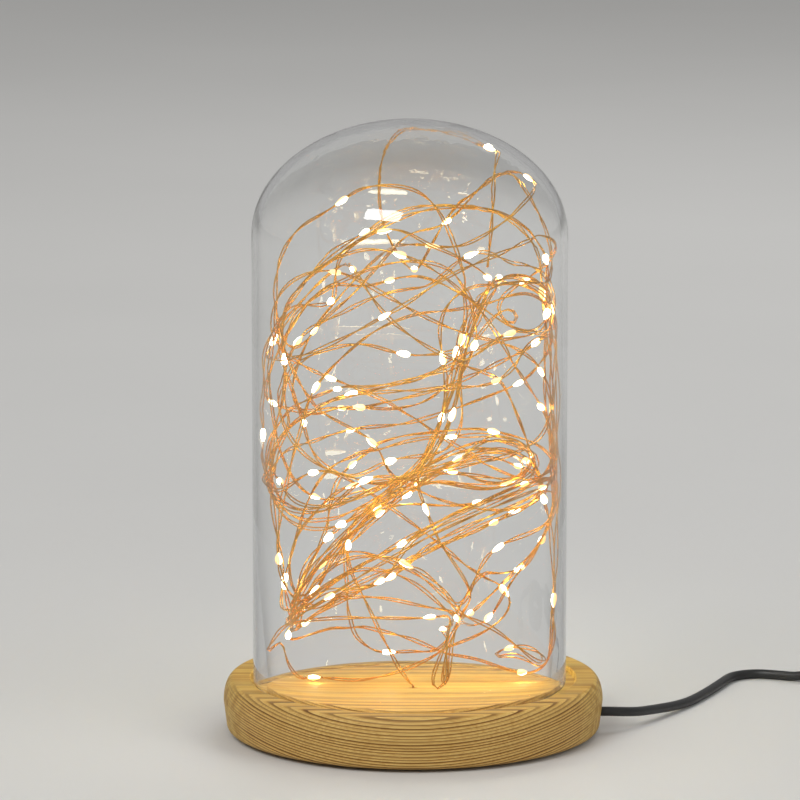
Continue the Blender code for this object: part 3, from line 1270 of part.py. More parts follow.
def add_plug_tongue(tongue_look, brass_look, frame, start, tip):
    shell_y, shell_z = PLUG_SHELL_SIZE[0] / 2, PLUG_SHELL_SIZE[1] / 2
    roof = PLUG_HALF_HEIGHT + shell_z - PLUG_SHELL_WALL - SEAT
    half = shell_y - PLUG_SHELL_WALL - SEAT
    under = roof - TONGUE_THICKNESS
    end = tip - TONGUE_SHORT
    add_block("usb_tongue", (-end, -half, under), (-start, half, roof), tongue_look, frame)
    pitch = 2 * half / (USB_CONTACTS + 0.5)
    for k in range(USB_CONTACTS):
        middle = (k - (USB_CONTACTS - 1) / 2) * pitch
        low = (-end + 2 * MM, middle - 0.35 * pitch, under - SEAT - 0.25 * MM)
        high = (-start - 3 * MM, middle + 0.35 * pitch, under - SEAT)
        add_block(f"usb_contact_{k + 1}", low, high, brass_look, frame)


def main():
    clear_scene()
    glass = make_material("clear_glass", (0.93, 0.97, 0.95), 0.02, transmission=1.0)
    wood = make_material("pine", (0.80, 0.58, 0.30), 0.42)
    plywood = make_material("cover_board", (0.42, 0.30, 0.18), 0.7)
    rubber = make_material("foot_rubber", (0.03, 0.03, 0.03), 0.8)
    board = make_material("board_green", (0.03, 0.22, 0.10), 0.4)
    resistor = make_material("resistor_beige", (0.70, 0.58, 0.38), 0.5)
    steel = make_material("zinc_steel", (0.70, 0.70, 0.70), 0.3, metallic=1.0)
    brass = make_material("contact_brass", (0.85, 0.65, 0.30), 0.3, metallic=1.0)
    copper = make_material("copper_wire", (0.85, 0.50, 0.28), 0.3, metallic=1.0)
    black = make_material("black_plastic", (0.02, 0.02, 0.02), 0.45)
    red = make_material("red_core", (0.55, 0.03, 0.03), 0.5)
    white = make_material("white_plastic", (0.85, 0.85, 0.83), 0.5)
    add_dome(glass)
    add_wood_base(wood)
    add_cover(plywood, steel)
    add_feet(rubber)
    add_board(board, resistor, white, steel)
    add_clamp(steel, steel)
    add_inner_leads(black, red)
    add_string(copper)
    add_cord(black)
    add_switch(black, black, brass, steel)
    add_plug(black, steel, white, brass)


main()
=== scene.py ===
import math

import bmesh
import bpy
import numpy as np
from mathutils import Matrix, Vector
from mathutils.kdtree import KDTree


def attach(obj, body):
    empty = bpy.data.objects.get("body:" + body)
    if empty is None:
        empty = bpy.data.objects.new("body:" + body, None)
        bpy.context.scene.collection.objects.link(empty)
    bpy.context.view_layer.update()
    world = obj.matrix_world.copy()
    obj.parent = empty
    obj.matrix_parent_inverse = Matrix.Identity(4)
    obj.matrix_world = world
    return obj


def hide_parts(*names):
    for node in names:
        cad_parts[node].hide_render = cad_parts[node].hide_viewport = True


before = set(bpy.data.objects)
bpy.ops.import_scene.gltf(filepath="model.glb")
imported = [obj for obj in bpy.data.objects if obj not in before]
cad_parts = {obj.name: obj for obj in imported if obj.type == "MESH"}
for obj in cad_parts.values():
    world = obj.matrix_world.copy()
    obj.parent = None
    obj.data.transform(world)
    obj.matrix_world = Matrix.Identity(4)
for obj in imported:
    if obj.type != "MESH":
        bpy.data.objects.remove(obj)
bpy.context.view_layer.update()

MM = 0.001

# Camera: where it stands, and what its picture's centre looks at
PICTURE_SIDE = 800
FOCAL_PIXELS = 6046.0
CAMERA_DISTANCE = 2.3
CAMERA_PITCH = math.radians(10.3)
LOOK_AT = Vector((-5.06 * MM, 0.0, 128.7 * MM))
SENSOR_WIDTH = 36.0
FARTHEST_SEEN = 50.0

# Plain soft studio light: each lamp's place, its width and height, and its power in watts
STUDIO_LIGHTS = (
    ("key_light", (-0.9, -1.3, 1.5), (0.9, 0.9), 20.0),
    ("fill_light", (1.4, -0.9, 0.9), (0.8, 1.2), 7.0),
    ("back_light", (0.5, 1.5, 1.4), (1.0, 0.6), 9.0),
)
GLINT_LIGHT = ("glint_light", (-0.66, -1.44, 1.8), (0.95, 0.5), 26.0)
LIGHTS_AIM = (0.0, 0.0, 0.1)
SKY_COLOUR = (0.95, 0.945, 0.935, 1.0)
SKY_STRENGTH = 0.42
FLOOR_RADIUS = 9.0
FLOOR_SIDES = 96
FLOOR_GREYS = ((0.65, 0.645, 0.63), (0.68, 0.675, 0.66))

# Glass dome and its seat
DOME_RADIUS = 60.0 * MM
DOME_WALL = 2.5 * MM
DOME_HEIGHT = 217.0 * MM
CROWN_RISE = 43.5 * MM
DOME_X = -1.38 * MM
DOME_FOOT = 18.9 * MM
DOME_SIDES = 192
CROWN_STEPS = 40
LIP_STEPS = 10
TIP_RADIUS = 0.001 * MM
GLASS_TINT = (0.997, 1.0, 0.998, 1.0)
GLASS_SHADOW = (0.985, 0.99, 0.987, 1.0)
GLASS_IOR = 1.45
WAVE_DEPTH = 0.05 * MM
WAVY_HEIGHTS = (150.0 * MM, 225.0 * MM)  # where the glass's waves grow to their full depth
WALL_WAVES = 0.15  # their share of it lower down

# Wood base
WOOD_BOTTOM = 1.3 * MM
WOOD_TOP = 21.0 * MM
GROOVE_FLOOR = 18.6 * MM
GROOVE_RADIUS = 62.3 * MM
DISC_RADIUS = 55.0 * MM
BASE_RADIUS = 72.7 * MM
RIM_SWELL = 3.5 * MM
RIM_DROP = 8.4 * MM
SIDE_TAPER = 1.1 * MM
BOTTOM_ROUND = 2.4 * MM
GROOVE_EDGE = 0.5 * MM
WIRE_HOLE_RADIUS = 1.5 * MM
WIRE_HOLE_EDGE = 0.25 * MM
POCKET_RADIUS = 27.0 * MM
COVER_RADIUS = 35.5 * MM
REBATE_ROOF = 3.6 * MM
POCKET_ROOF = 9.35 * MM
CORD_EXIT_HEIGHT = 7.2 * MM
CORD_BORE = 2.15 * MM
BORE_MIDDLE = 50.0 * MM
BORE_LENGTH = 60.0 * MM
BORE_SIDES = 32
BASE_SIDES = 192
SHARP_ANGLE = math.radians(40.0)

# Its grain: pith, growth rings, and the plainer wood in the middle of the board
PITH_Y = 3.0 * MM
PITH_Z = -254.4 * MM
RING_PITCH = 1.15 * MM
RING_UNEVEN = 1.4
GRAIN_SWAY = 5.0 * MM
PLAIN_HALF_WIDTH = 20.0 * MM
PORE_DEPTH = 0.05 * MM
RING_COLOURS = (  # across one ring, from early to late wood
    (0.0, (0.70, 0.48, 0.165)), (0.38, (0.66, 0.44, 0.14)), (0.58, (0.45, 0.255, 0.065)),
    (0.76, (0.16, 0.068, 0.016)), (0.93, (0.14, 0.058, 0.014)), (1.0, (0.69, 0.47, 0.16)),
)
FAINT_RING = (0.65, 0.44, 0.145)
PLAIN_WOOD = (0.63, 0.45, 0.125)
FIBRE_STREAKS = (0.55, 0.36, 0.16)
BROAD_STREAKS = (0.62, 0.47, 0.27)
PORE_COLOUR = (0.22, 0.11, 0.04)

# String lights
WIRE_RADIUS = 0.4 * MM
STRAND_RADIUS = 0.28 * MM
STRAND_SPREAD = 0.4 * MM
STRAND_TWIST = 46.0 * MM
STRAND_SEED = 11
COPPER = (0.95, 0.53, 0.08)
DULL_COPPER = (0.60, 0.29, 0.03)
TWIST_DRIFT = (-1.6, 1.6)  # how far the twist runs ahead or behind, in radians
TWIST_DRIFT_STEP = 40.0 * MM
SPREAD_SHARE = (0.55, 1.9)  # the wires' way from their middle line, as a share of STRAND_SPREAD
SPREAD_STEP = 30.0 * MM
PINCH_REACH = 6.0 * MM  # within this of an LED the wires draw together
PINCH_LEAST = 0.35
STEM_LENGTH = 14.3 * MM

# The resin drops over the LEDs, and how they differ
DROP_RADIUS = 1.45 * MM
DROP_LENGTH = 5.6 * MM
DROP_SIDES = 14
DROP_SEED = 5
DROP_TURNED_SHARE = 0.4
DROP_LONG = (0.72, 1.12)
DROP_WIDE = (0.76, 1.0)
DROP_FLAT = (0.70, 0.98)
DROP_BEND = 0.25 * MM
DROP_PROFILE = (  # (radius, place along the drop), as shares
    (0.0, 0.0), (0.5, 0.03), (0.82, 0.14), (1.0, 0.34), (0.94, 0.52),
    (0.72, 0.70), (0.42, 0.86), (0.2, 0.96), (0.0, 1.0),
)
CHIP_SIDE = "chip_side"  # on the drops' points: 1 over the LED's chip, 0 behind it
CHIP_STRENGTH = 170.0
BACK_STRENGTH = 1.1
RESIN_COLOUR = (1.0, 0.80, 0.48, 1.0)
LED_COLOURS = ((0.0, (1.0, 0.46, 0.10)), (0.4, (1.0, 0.70, 0.30)), (0.8, (1.0, 0.90, 0.66)))

# The LEDs' warm light: soft lights up the nest, and one at each LED that is
# lower than LOW_LED_HEIGHT over the disc
LED_LIGHT_COLOUR = (1.0, 0.90, 0.42)
LOW_LED_HEIGHT = 22.0 * MM
LOW_LED_POWER = 0.009
GLOW_LIGHTS = 6
GLOW_POWER = 0.05
GLOW_SIZE = 12.0 * MM
GLOW_TURN = 2.4  # radians from one light to the next
GLOW_OUT = 24.0 * MM
GLOW_LOWEST = 50.0 * MM
GLOW_RISE = 26.0 * MM

# The string's course and its LEDs' places along it
LED_PITCH = 100.0 * MM
FIRST_LED = 75.0 * MM
LED_SLIDE = 30.0 * MM  # how far along the string an LED may be from its even place
LED_REACH = 13.0 * MM  # how far the string is drawn over to bring an LED to its place
SLIDE_COST = 0.023  # of a slide along the string, set against a miss of the place
PULL_WIDTH = 22.0 * MM  # how much of the string goes with an LED that is drawn over, on each side
PULL_SPREAD = 2.2  # the same, as a share of the way that it is drawn
FIRST_BEND = (-1.0 * MM, 0.5 * MM, 3.0 * MM)
LEAST_DEPTH = 12.0 * MM
WALL_CLEARANCE = 0.8 * MM
LED_ROOM = 12.0 * MM
STEPS_PER_PLACE = 12
ROUTE_STEP = 2.5 * MM
ROUNDING_PASSES = 6
STRING_GAP = 0.5 * MM
APART_ALONG = 12.0 * MM  # stretches that are nearer than this along the string may touch
LOOSEN_ROUNDS = 24
TOUCHING = 0.01 * MM
ANY_WAY = (0.6, 0.0, 0.8)  # the way apart for two points in one place

# Power cord
CORD_RADIUS = 1.85 * MM
CORD_STEP = 2.0 * MM
STEPS_PER_KNOT = 40
COIL_CENTRE = (219.5 * MM, 16.8 * MM)
COIL_OUTER = 28.6 * MM
COIL_TURNS_PER_LAYER = 3
COIL_GAP = 0.5 * MM
COIL_LIFT = 0.05 * MM
COIL_CLIMB = 0.5  # the share of a turn in which it climbs to the upper layer
COIL_POINTS = 48

# The string's route is drawn on the lamp's middle plane, as VIEWPOINT sees it. VIEWPOINT is in
# front of the lamp and above it, with its height taken from the wood disc.
VIEWPOINT = (-5.1 * MM, -2263.0 * MM, 519.0 * MM)

# Bundles that the string runs through more than once: (across, up) in millimetres
RISING = (
    (-47, 25), (-45, 34), (-39, 45), (-30, 54), (-21, 64), (-11, 72), (0, 80), (7, 90),
    (12, 102), (15, 113), (18, 127), (22, 140), (27, 151),
)
DIAGONAL = ((-47, 24), (-40, 30), (-28, 38), (-11, 48), (6, 58), (23, 66), (41, 74), (50, 78))
LEFT_BOW = ((-32, 108), (-41, 105), (-48, 99), (-53, 90), (-55, 81))
LEFT_FOOT = ((-54, 74), (-49, 68), (-41, 65), (-31, 66), (-20, 70))
RIGHT_CURL = ((-5, 76), (10, 77), (25, 74), (38, 76), (46, 82))
CURL_BACK = ((43, 90), (32, 95), (17, 92), (3, 84))


def shifted(places, across, up):
    """A bundle's places moved across and up, for one more pass beside it."""
    return tuple((x + across, y + up) for x, y in places)


# The string's way from the wire hole to its end, stretch by stretch: how far it lies towards the
# back of the glass, from -1 to 1, and the places that it passes
STRING_ROUTE = (
    (0.1, ((-5, 6), (-8, 13), (-12, 20), (-16, 29), (-21, 39), (-25, 48), (-26, 56))),
    (-0.35, RISING[4:]),
    (-0.3, ((32, 155), (42, 154), (50, 149), (53, 141))),
    (0.7, ((50, 134), (41, 128), (31, 123), (20, 118), (6, 113), (-7, 110), (-22, 107))),
    (0.6, LEFT_BOW),
    (-0.6, LEFT_FOOT),
    (-0.6, RIGHT_CURL),
    (0.6, CURL_BACK),
    (0.3, RISING[5::-1]),
    (-0.7, DIAGONAL),
    (0.5, ((55, 76), (55, 71), (52, 65), (43, 60), (33, 54), (27, 47), (21, 38), (16, 29))),
    (-0.75, ((13, 16), (9, 6), (6, -2), (9, -6), (12, -3), (13, 6), (12, 16), (15, 25))),
    (-0.5, ((6, 26), (-9, 25), (-26, 25), (-39, 24), (-48, 22))),
    (0.3, ((-54, 16), (-57, 11), (-55, 12), (-49, 20))),
    (0.2, ((-49, 14), (-47, 8), (-42, 4), (-36, 2), (-24, 3), (-11, 5), (3, 10), (13, 16))),
    (0.4, ((22, 20), (30, 24), (35, 29), (34, 35), (29, 39))),
    (0.6, ((20, 48), (9, 57), (-2, 65), (-13, 73), (-24, 80), (-34, 85), (-40, 92), (-43, 100))),
    (0.2, ((-45, 110), (-49, 120), (-51, 131), (-49, 141))),
    (-0.75, ((-43, 151), (-35, 159), (-24, 165), (-13, 168), (0, 169), (12, 165), (22, 160),
        (28, 155))),
    (-0.1, shifted(RISING[::-1], 1.5, -1)),
    (-0.85, shifted(DIAGONAL, 1, -2)),
    (0.2, ((54, 84), (52, 94), (50, 108), (50, 123), (51, 138), (50, 150), (49, 161))),
    (0.6, ((45, 169), (39, 176), (29, 181), (17, 183), (4, 183), (-7, 180), (-20, 172))),
    (0.5, ((-32, 164), (-42, 153), (-50, 141))),
    (-0.3, ((-54, 133), (-57, 125), (-56, 115), (-57, 106), (-57, 95), (-56, 84), (-52, 73))),
    (-0.7, ((-43, 66), (-30, 67), (-16, 73), (-3, 80), (12, 87), (25, 94), (38, 93), (45, 88))),
    (0.5, ((46, 81), (41, 75), (29, 72), (14, 70), (-2, 71))),
    (0.1, ((-16, 66), (-25, 55), (-32, 48), (-39, 38), (-45, 29))),
    (-0.6, shifted(RISING, 2, 1)),
    (0.2, ((35, 153), (44, 152), (50, 148), (52, 139))),
    (0.5, ((46, 134), (33, 132), (18, 126), (3, 118), (-13, 114), (-28, 111))),
    (0.4, shifted(LEFT_BOW[1:], -1.5, -2)),
    (-0.6, shifted(LEFT_FOOT, -1, 3)),
    (-0.5, ((-7, 77), (6, 84), (22, 90), (35, 89))),
    (0.2, ((42, 84), (38, 78), (25, 77), (12, 79), (1, 77))),
    (-0.4, ((-11, 69), (-24, 58), (-36, 45), (-45, 32))),
    (-0.5, shifted(DIAGONAL, -1, 2)),
    (0.5, ((54, 85), (49, 92), (39, 96), (25, 99), (10, 98), (-3, 96), (-15, 92), (-24, 85))),
    (0.2, ((-30, 77), (-32, 66), (-35, 55), (-41, 43), (-47, 31))),
    (0.1, ((-42, 29), (-33, 38), (-22, 45), (-11, 45), (1, 40), (9, 33), (16, 27))),
    (0.5, ((22, 31), (34, 41), (44, 51), (51, 63), (54, 73))),
    (-0.1, ((52, 82), (52, 96), (52, 112), (52, 127), (51, 142), (50, 154))),
    (-0.5, ((49, 163), (44, 172), (35, 179), (22, 182), (6, 181), (-9, 176), (-22, 168), (-35, 158))),
    (0.0, ((-46, 146), (-52, 135), (-55, 122), (-54, 110), (-52, 96))),
    (0.4, ((-49, 86), (-43, 77), (-32, 73), (-16, 76), (-1, 81), (14, 86), (29, 90), (40, 89))),
    (-0.3, ((44, 83), (39, 78), (25, 80), (10, 81))),
    (0.5, shifted(RISING[6::-1], 3, -2)),
    (-0.2, ((-48, 34), (-50, 49), (-53, 67), (-54, 86), (-51, 103), (-47, 118), (-48, 131))),
    (-0.4, ((-42, 144), (-32, 151), (-20, 157), (-7, 161), (6, 161), (16, 157), (21, 148), (22, 135))),
    (-0.2, ((18, 119), (13, 108), (9, 97), (3, 86), (-7, 77), (-20, 67), (-34, 55), (-43, 41))),
    (-0.2, shifted(DIAGONAL, 2, -3)),
    (0.3, ((54, 69), (52, 63), (44, 58), (36, 54), (29, 49), (23, 41), (18, 31))),
    (0.5, ((10, 38), (1, 45), (-13, 51), (-24, 54), (-31, 50), (-37, 39), (-44, 29))),
    (0.3, shifted(DIAGONAL, 0, -5)),
    (0.7, shifted(CURL_BACK, 2, -3)),
    (0.2, ((-7, 75), (-20, 69), (-32, 64), (-43, 64), (-52, 70))),
    (-0.2, ((-56, 82), (-54, 94), (-47, 105))),
    (-0.7, ((-35, 110), (-20, 113), (-5, 115), (10, 119), (25, 125), (37, 130), (48, 133))),
    (0.3, ((54, 139), (54, 148), (51, 156), (44, 160))),
    (0.6, ((33, 160), (20, 156), (6, 152), (-9, 150), (-22, 145), (-34, 138), (-43, 129), (-49, 118))),
    (-0.3, ((-51, 107), (-47, 95), (-39, 86), (-26, 80), (-11, 79), (4, 84), (15, 92))),
    (-0.4, ((19, 104), (17, 115), (20, 129), (25, 140), (30, 150))),
    (0.1, ((35, 156), (44, 156), (51, 151), (54, 138), (54, 123), (53, 108), (54, 92), (52, 77))),
    (-0.4, ((44, 69), (33, 63), (20, 57), (4, 50), (-11, 43), (-26, 36), (-39, 28))),
    (-0.5, ((-49, 38), (-51, 55), (-48, 75), (-44, 92), (-38, 108), (-29, 122), (-16, 134), (0, 141))),
    (-0.1, ((16, 143), (30, 146), (42, 150), (51, 145), (52, 130))),
    (0.6, ((44, 119), (30, 112), (14, 106), (-3, 101), (-20, 99), (-36, 95))),
    (-0.3, ((-50, 88), (-54, 75), (-47, 62), (-33, 60), (-17, 66), (0, 75), (16, 84), (32, 88))),
    (0.1, ((46, 84), (49, 74), (40, 68), (25, 68), (9, 72), (-7, 80), (-22, 91), (-35, 104))),
    (-0.3, ((-45, 119), (-50, 135), (-45, 149))),
    (-0.6, ((-33, 160), (-18, 166), (-2, 163), (12, 155), (24, 144), (33, 131), (41, 117))),
    (0.4, ((50, 104), (54, 90), (48, 79), (35, 82), (20, 90), (5, 100), (-10, 109), (-26, 116),
        (-41, 122))),
    (0.0, ((-52, 130), (-53, 145), (-45, 155), (-30, 158), (-13, 150), (3, 141), (20, 134), (36, 130))),
    (-0.1, ((48, 124), (53, 112), (50, 97))),
    (-0.5, ((38, 88), (22, 84), (5, 80), (-12, 76), (-28, 72), (-42, 60), (-47, 45))),
    (-0.4, ((-43, 31), (-35, 41), (-26, 48), (-15, 49), (-3, 47), (6, 41), (13, 35), (16, 28))),
    (-0.3, ((22, 25), (28, 23), (35, 18), (41, 13), (47, 8))),
    (0.4, ((50, 11), (47, 15), (39, 17), (31, 15), (29, 11), (33, 13), (39, 14), (45, 10))),
    (0.3, ((49, 6), (52, 14), (52, 21), (53, 31), (53, 45), (52, 61))),
    (-0.5, ((49, 70), (47, 79), (44, 89), (41, 98), (37, 108), (33, 116))),
    (-0.7, ((26, 119), (14, 124), (3, 130), (-9, 139), (-16, 148), (-22, 158))),
    (0.3, ((-27, 160), (-34, 155), (-43, 146), (-50, 135), (-55, 126))),
    (-0.8, ((-49, 124), (-39, 126), (-28, 131), (-15, 138), (-1, 146), (12, 155), (25, 161),
        (37, 166))),
    (-0.4, ((48, 171), (54, 169))),
    (0.3, ((54, 164), (50, 160), (41, 154), (35, 150), (31, 145))),
    (0.2, ((34, 139), (38, 136), (41, 140), (38, 145), (33, 143), (28, 138), (23, 131))),
    (0.6, ((16, 128), (6, 127), (-5, 128), (-18, 131), (-32, 129), (-42, 125))),
    (0.2, shifted(((-49, 118), (-52, 108)) + LEFT_BOW[2:], 2, 2)),
    (-0.8, shifted(LEFT_FOOT, 2, 2)),
    (-0.4, shifted(RIGHT_CURL, -1, 2)),
    (0.5, ((41, 93), (30, 97), (17, 97), (3, 96), (-11, 93), (-22, 89))),
    (0.3, ((-32, 84), (-39, 74), (-43, 63), (-46, 51), (-49, 42), (-50, 34))),
    (-0.2, ((-49, 28), (-43, 27), (-32, 33), (-16, 34), (-3, 32), (7, 29), (16, 27))),
    (-0.65, ((13, 14), (11, 3), (11, -5), (14, 2), (14, 12), (17, 22))),
    (0.4, ((22, 25), (29, 27), (35, 38), (41, 46), (49, 57), (53, 66))),
    (0.0, ((55, 73), (53, 79))),
    (-0.6, shifted(DIAGONAL[6:0:-1], 0, 2)),
    (0.2, ((-48, 25), (-50, 20), (-43, 21), (-24, 24), (-11, 22), (3, 18), (10, 14), (22, 12))),
    (0.3, ((33, 9), (44, 6), (50, 8))),
    (-0.2, ((53, 16), (53, 30), (54, 45), (54, 61), (55, 77), (54, 92), (55, 108), (54, 123))),
    (-0.6, ((53, 134), (44, 130), (35, 125), (25, 119), (12, 113), (-3, 112), (-18, 111), (-32, 108))),
    (0.4, ((-41, 105), (-49, 107), (-56, 109), (-55, 118), (-50, 131), (-43, 142), (-32, 153))),
    (0.5, ((-20, 152), (-8, 156), (3, 156), (15, 151), (25, 145), (35, 138), (44, 135))),
    (-0.3, ((51, 139), (53, 146), (49, 152), (42, 154), (33, 153), (26, 149))),
    (0.4, shifted(RISING[11:3:-1], -2, 0)),
    (0.2, ((-26, 53), (-25, 39), (-25, 29), (-23, 22), (-18, 15), (-11, 12), (-3, 14), (7, 14))),
    (-0.2, ((14, 19), (18, 27))),
    (-0.6, ((22, 34), (16, 45), (9, 55), (5, 66), (1, 77))),
    (-0.5, ((5, 88), (10, 98), (12, 108), (13, 119), (11, 129), (10, 139), (14, 147), (20, 151))),
    (-0.5, ((27, 153), (35, 153), (44, 154), (50, 152))),
    (0.1, ((53, 161), (51, 172), (46, 182), (41, 191), (36, 196))),
    (0.3, ((27, 192), (18, 186), (6, 178), (-5, 169), (-13, 160), (-22, 150), (-34, 138), (-41, 129))),
    (0.0, ((-48, 129), (-51, 136))),
    (-0.5, ((-52, 150), (-50, 163), (-43, 174), (-34, 179), (-27, 184), (-20, 189), (-11, 190),
        (-1, 189))),
    (-0.4, ((7, 184), (12, 176), (16, 166), (19, 156), (20, 144), (19, 133), (15, 121))),
    (0.4, ((9, 112), (-1, 107), (-15, 106), (-28, 107), (-39, 103))),
    (0.5, ((-46, 108), (-46, 117), (-42, 128), (-37, 138), (-29, 147), (-21, 156), (-13, 163))),
    (-0.5, ((-4, 168), (6, 167), (18, 167), (27, 171), (37, 179), (44, 186))),
    (0.2, ((46, 192), (41, 196), (33, 195))),
    (0.6, ((25, 189), (16, 183), (11, 175), (6, 166), (1, 158))),
    (0.25, ((-4, 161), (-8, 167), (-11, 174), (-13, 183), (-13, 192), (-12, 202), (-8, 209))),
    (0.15, ((-2, 213), (4, 215), (11, 214), (18, 210), (25, 206), (30, 205))),
    (-0.2, ((30, 196), (30, 182), (29, 169), (28, 159))),
)

# Where the LEDs show: (across, up) in millimetres
LED_PLACES = (
    (31, 206), (-27, 184), (-19, 172), (-11, 173), (12, 176), (7, 167), (22, 164), (50, 162),
    (-23, 159), (0, 158), (-10, 154), (28, 155), (32, 155), (42, 154), (49, 149), (-31, 146),
    (-37, 136), (-44, 132), (-53, 132), (51, 141), (36, 134), (18, 131), (23, 130), (47, 131),
    (-4, 127), (11, 125), (16, 127), (-49, 125), (-57, 125), (49, 119), (-32, 118), (-12, 118),
    (1, 119), (-37, 113), (-28, 113), (-24, 112), (32, 116), (40, 116), (-54, 108), (-28, 107),
    (-21, 107), (-12, 106), (7, 104), (11, 103), (15, 103), (-42, 102), (-23, 99), (-16, 94),
    (-58, 95), (14, 96), (31, 98), (-9, 89), (-8, 86), (-23, 86), (-41, 89), (-37, 81),
    (-50, 77), (-37, 73), (-18, 78), (-23, 76), (1, 79), (-3, 74), (45, 89), (39, 84),
    (16, 85), (14, 82), (36, 78), (5, 66), (-12, 66), (-28, 61), (-25, 55), (-5, 53),
    (32, 54), (49, 57), (40, 46), (-35, 47), (-49, 41), (-37, 37), (-9, 41), (-13, 38),
    (-16, 33), (-32, 32), (-40, 26), (-48, 21), (6, 25), (11, 21), (17, 26), (21, 29),
    (29, 28), (35, 38), (53, 32), (-9, 14), (7, 14), (42, 6), (-37, 2),
)

# Routes of the power cord where it isn't coiled: (x, y, z) in millimetres
RUN_TO_SWITCH = (
    (71.0, 0.0, 7.2), (75.5, 0.0, 7.2), (80.5, 2.0, 6.6), (87.0, 7.6, 5.4),
    (95.0, 18.6, 3.9), (101.2, 27.8, 2.8), (106.9, 37.2, 2.1), (111.6, 46.6, 1.9),
    (116.0, 56.4, 1.9), (120.6, 67.8, 1.9), (125.3, 79.6, 1.9), (128.7, 84.2, 1.9),
    (133.4, 87.1, 1.9), (138.5, 87.6, 1.9), (143.2, 86.4, 1.9), (147.6, 84.7, 1.9),
    (151.8, 83.0, 2.0), (156.2, 81.35, 2.9), (160.6, 79.85, 4.3), (165.2, 78.35, 5.4),
    (170.0, 76.86, 5.8), (176.0, 75.25, 5.8),
)
RUN_TO_COIL = (
    (210.0, 66.15, 5.8), (216.5, 64.4, 5.8), (222.0, 62.5, 5.6), (229.5, 58.6, 4.6),
    (237.0, 52.2, 3.3), (243.0, 43.6, 2.3), (246.9, 34.3, 1.9), (248.1, 26.3, 1.9),
    (248.1, 20.8, 1.9),
)
RUN_TO_PLUG = (
    (248.1, 12.8, 6.1), (248.2, 7.3, 5.9), (248.9, -0.2, 4.7), (249.6, -9.7, 3.0),
    (248.6, -20.2, 1.9), (243.8, -31.2, 1.9), (234.5, -39.4, 2.2), (224.0, -42.8, 3.3),
    (216.0, -43.2, 4.1), (208.6, -43.2, 4.1),
)


def link(obj):
    bpy.context.scene.collection.objects.link(obj)
    return obj


class Shader:
    """A node material under construction: each call adds one node and returns its output."""

    def __init__(self, name):
        self.material = bpy.data.materials.new(name)
        self.material.use_nodes = True
        self.tree = self.material.node_tree
        self.main = self.tree.nodes["Principled BSDF"]
        self.output = self.tree.nodes["Material Output"]

    def join(self, socket, value):
        if isinstance(value, bpy.types.NodeSocket):
            self.tree.links.new(value, socket)
        else:
            socket.default_value = value

    def set(self, **values):
        for name, value in values.items():
            self.join(self.main.inputs[name.replace("_", " ")], value)

    def node(self, kind, inputs=(), **settings):
        made = self.tree.nodes.new("ShaderNode" + kind)
        for name, value in settings.items():
            setattr(made, name, value)
        for key, value in dict(inputs).items():
            self.join(made.inputs[key], value)
        return made

    def place(self, scale=(1.0, 1.0, 1.0), shift=(0.0, 0.0, 0.0)):
        here = self.node("TexCoord").outputs["Object"]
        return self.node("Mapping", {"Vector": here, "Scale": scale, "Location": shift}).outputs["Vector"]

    def noise(self, vector, scale, detail=2.0, roughness=0.5):
        inputs = {"Vector": vector, "Scale": scale, "Detail": detail, "Roughness": roughness}
        return self.node("TexNoise", inputs).outputs["Fac"]

    def math(self, operation, a, b=0.0):
        return self.node("Math", {0: a, 1: b}, operation=operation).outputs[0]

    def remap(self, value, low, high, to_low=0.0, to_high=1.0):
        inputs = {"Value": value, "From Min": low, "From Max": high, "To Min": to_low, "To Max": to_high}
        return self.node("MapRange", inputs, clamp=True).outputs["Result"]

    def ramp(self, value, stops):
        made = self.node("ValToRGB", {"Fac": value})
        band = made.color_ramp
        while len(band.elements) < len(stops):
            band.elements.new(0.5)
        for element, (at, colour) in zip(band.elements, stops):
            element.position = at
            element.color = (*colour, 1.0)
        return made.outputs["Color"]

    def mix(self, factor, a, b, blend="MIX"):
        made = self.node("Mix", data_type="RGBA", blend_type=blend)
        self.join(made.inputs["Factor"], factor)
        colours = [socket for socket in made.inputs if socket.type == "RGBA"]
        for socket, value in zip(colours, (a, b)):
            if not isinstance(value, bpy.types.NodeSocket):
                value = (*value, 1.0)
            self.join(socket, value)
        return [socket for socket in made.outputs if socket.type == "RGBA"][0]

    def bump(self, height, distance):
        made = self.node("Bump", {"Height": height, "Distance": distance})
        self.join(self.main.inputs["Normal"], made.outputs["Normal"])


def plastic(name, colour, roughness, grain, depth, worn=1.6):
    """Moulded plastic or rubber: a fine grain, and patches where handling has polished it."""
    made = Shader(name)
    place = made.place()
    patches = made.noise(place, 90.0, 3.0)
    fine = made.noise(place, grain, 2.0, 0.6)
    lighter = tuple(min(channel * worn + 0.004, 1.0) for channel in colour)
    made.set(
        Base_Color=made.mix(made.remap(patches, 0.35, 0.7), colour, lighter),
        Roughness=made.remap(made.math("ADD", patches, fine), 0.6, 1.4, roughness - 0.08, roughness + 0.1),
    )
    made.bump(fine, depth)
    return made.material


def metal(name, colour, dark, roughness, stretch=(1.0, 1.0, 1.0), grain=1500.0, depth=0.01 * MM):
    """Bare metal: drawing lines along one axis, and a thin dull film in patches."""
    made = Shader(name)
    lines = made.noise(made.place(scale=stretch), grain, 3.0, 0.6)
    film = made.noise(made.place(), 240.0, 3.0)
    made.set(
        Base_Color=made.mix(made.remap(film, 0.35, 0.75), colour, dark),
        Metallic=1.0,
        Roughness=made.remap(lines, 0.3, 0.7, roughness - 0.07, roughness + 0.1),
    )
    made.bump(lines, depth)
    return made.material


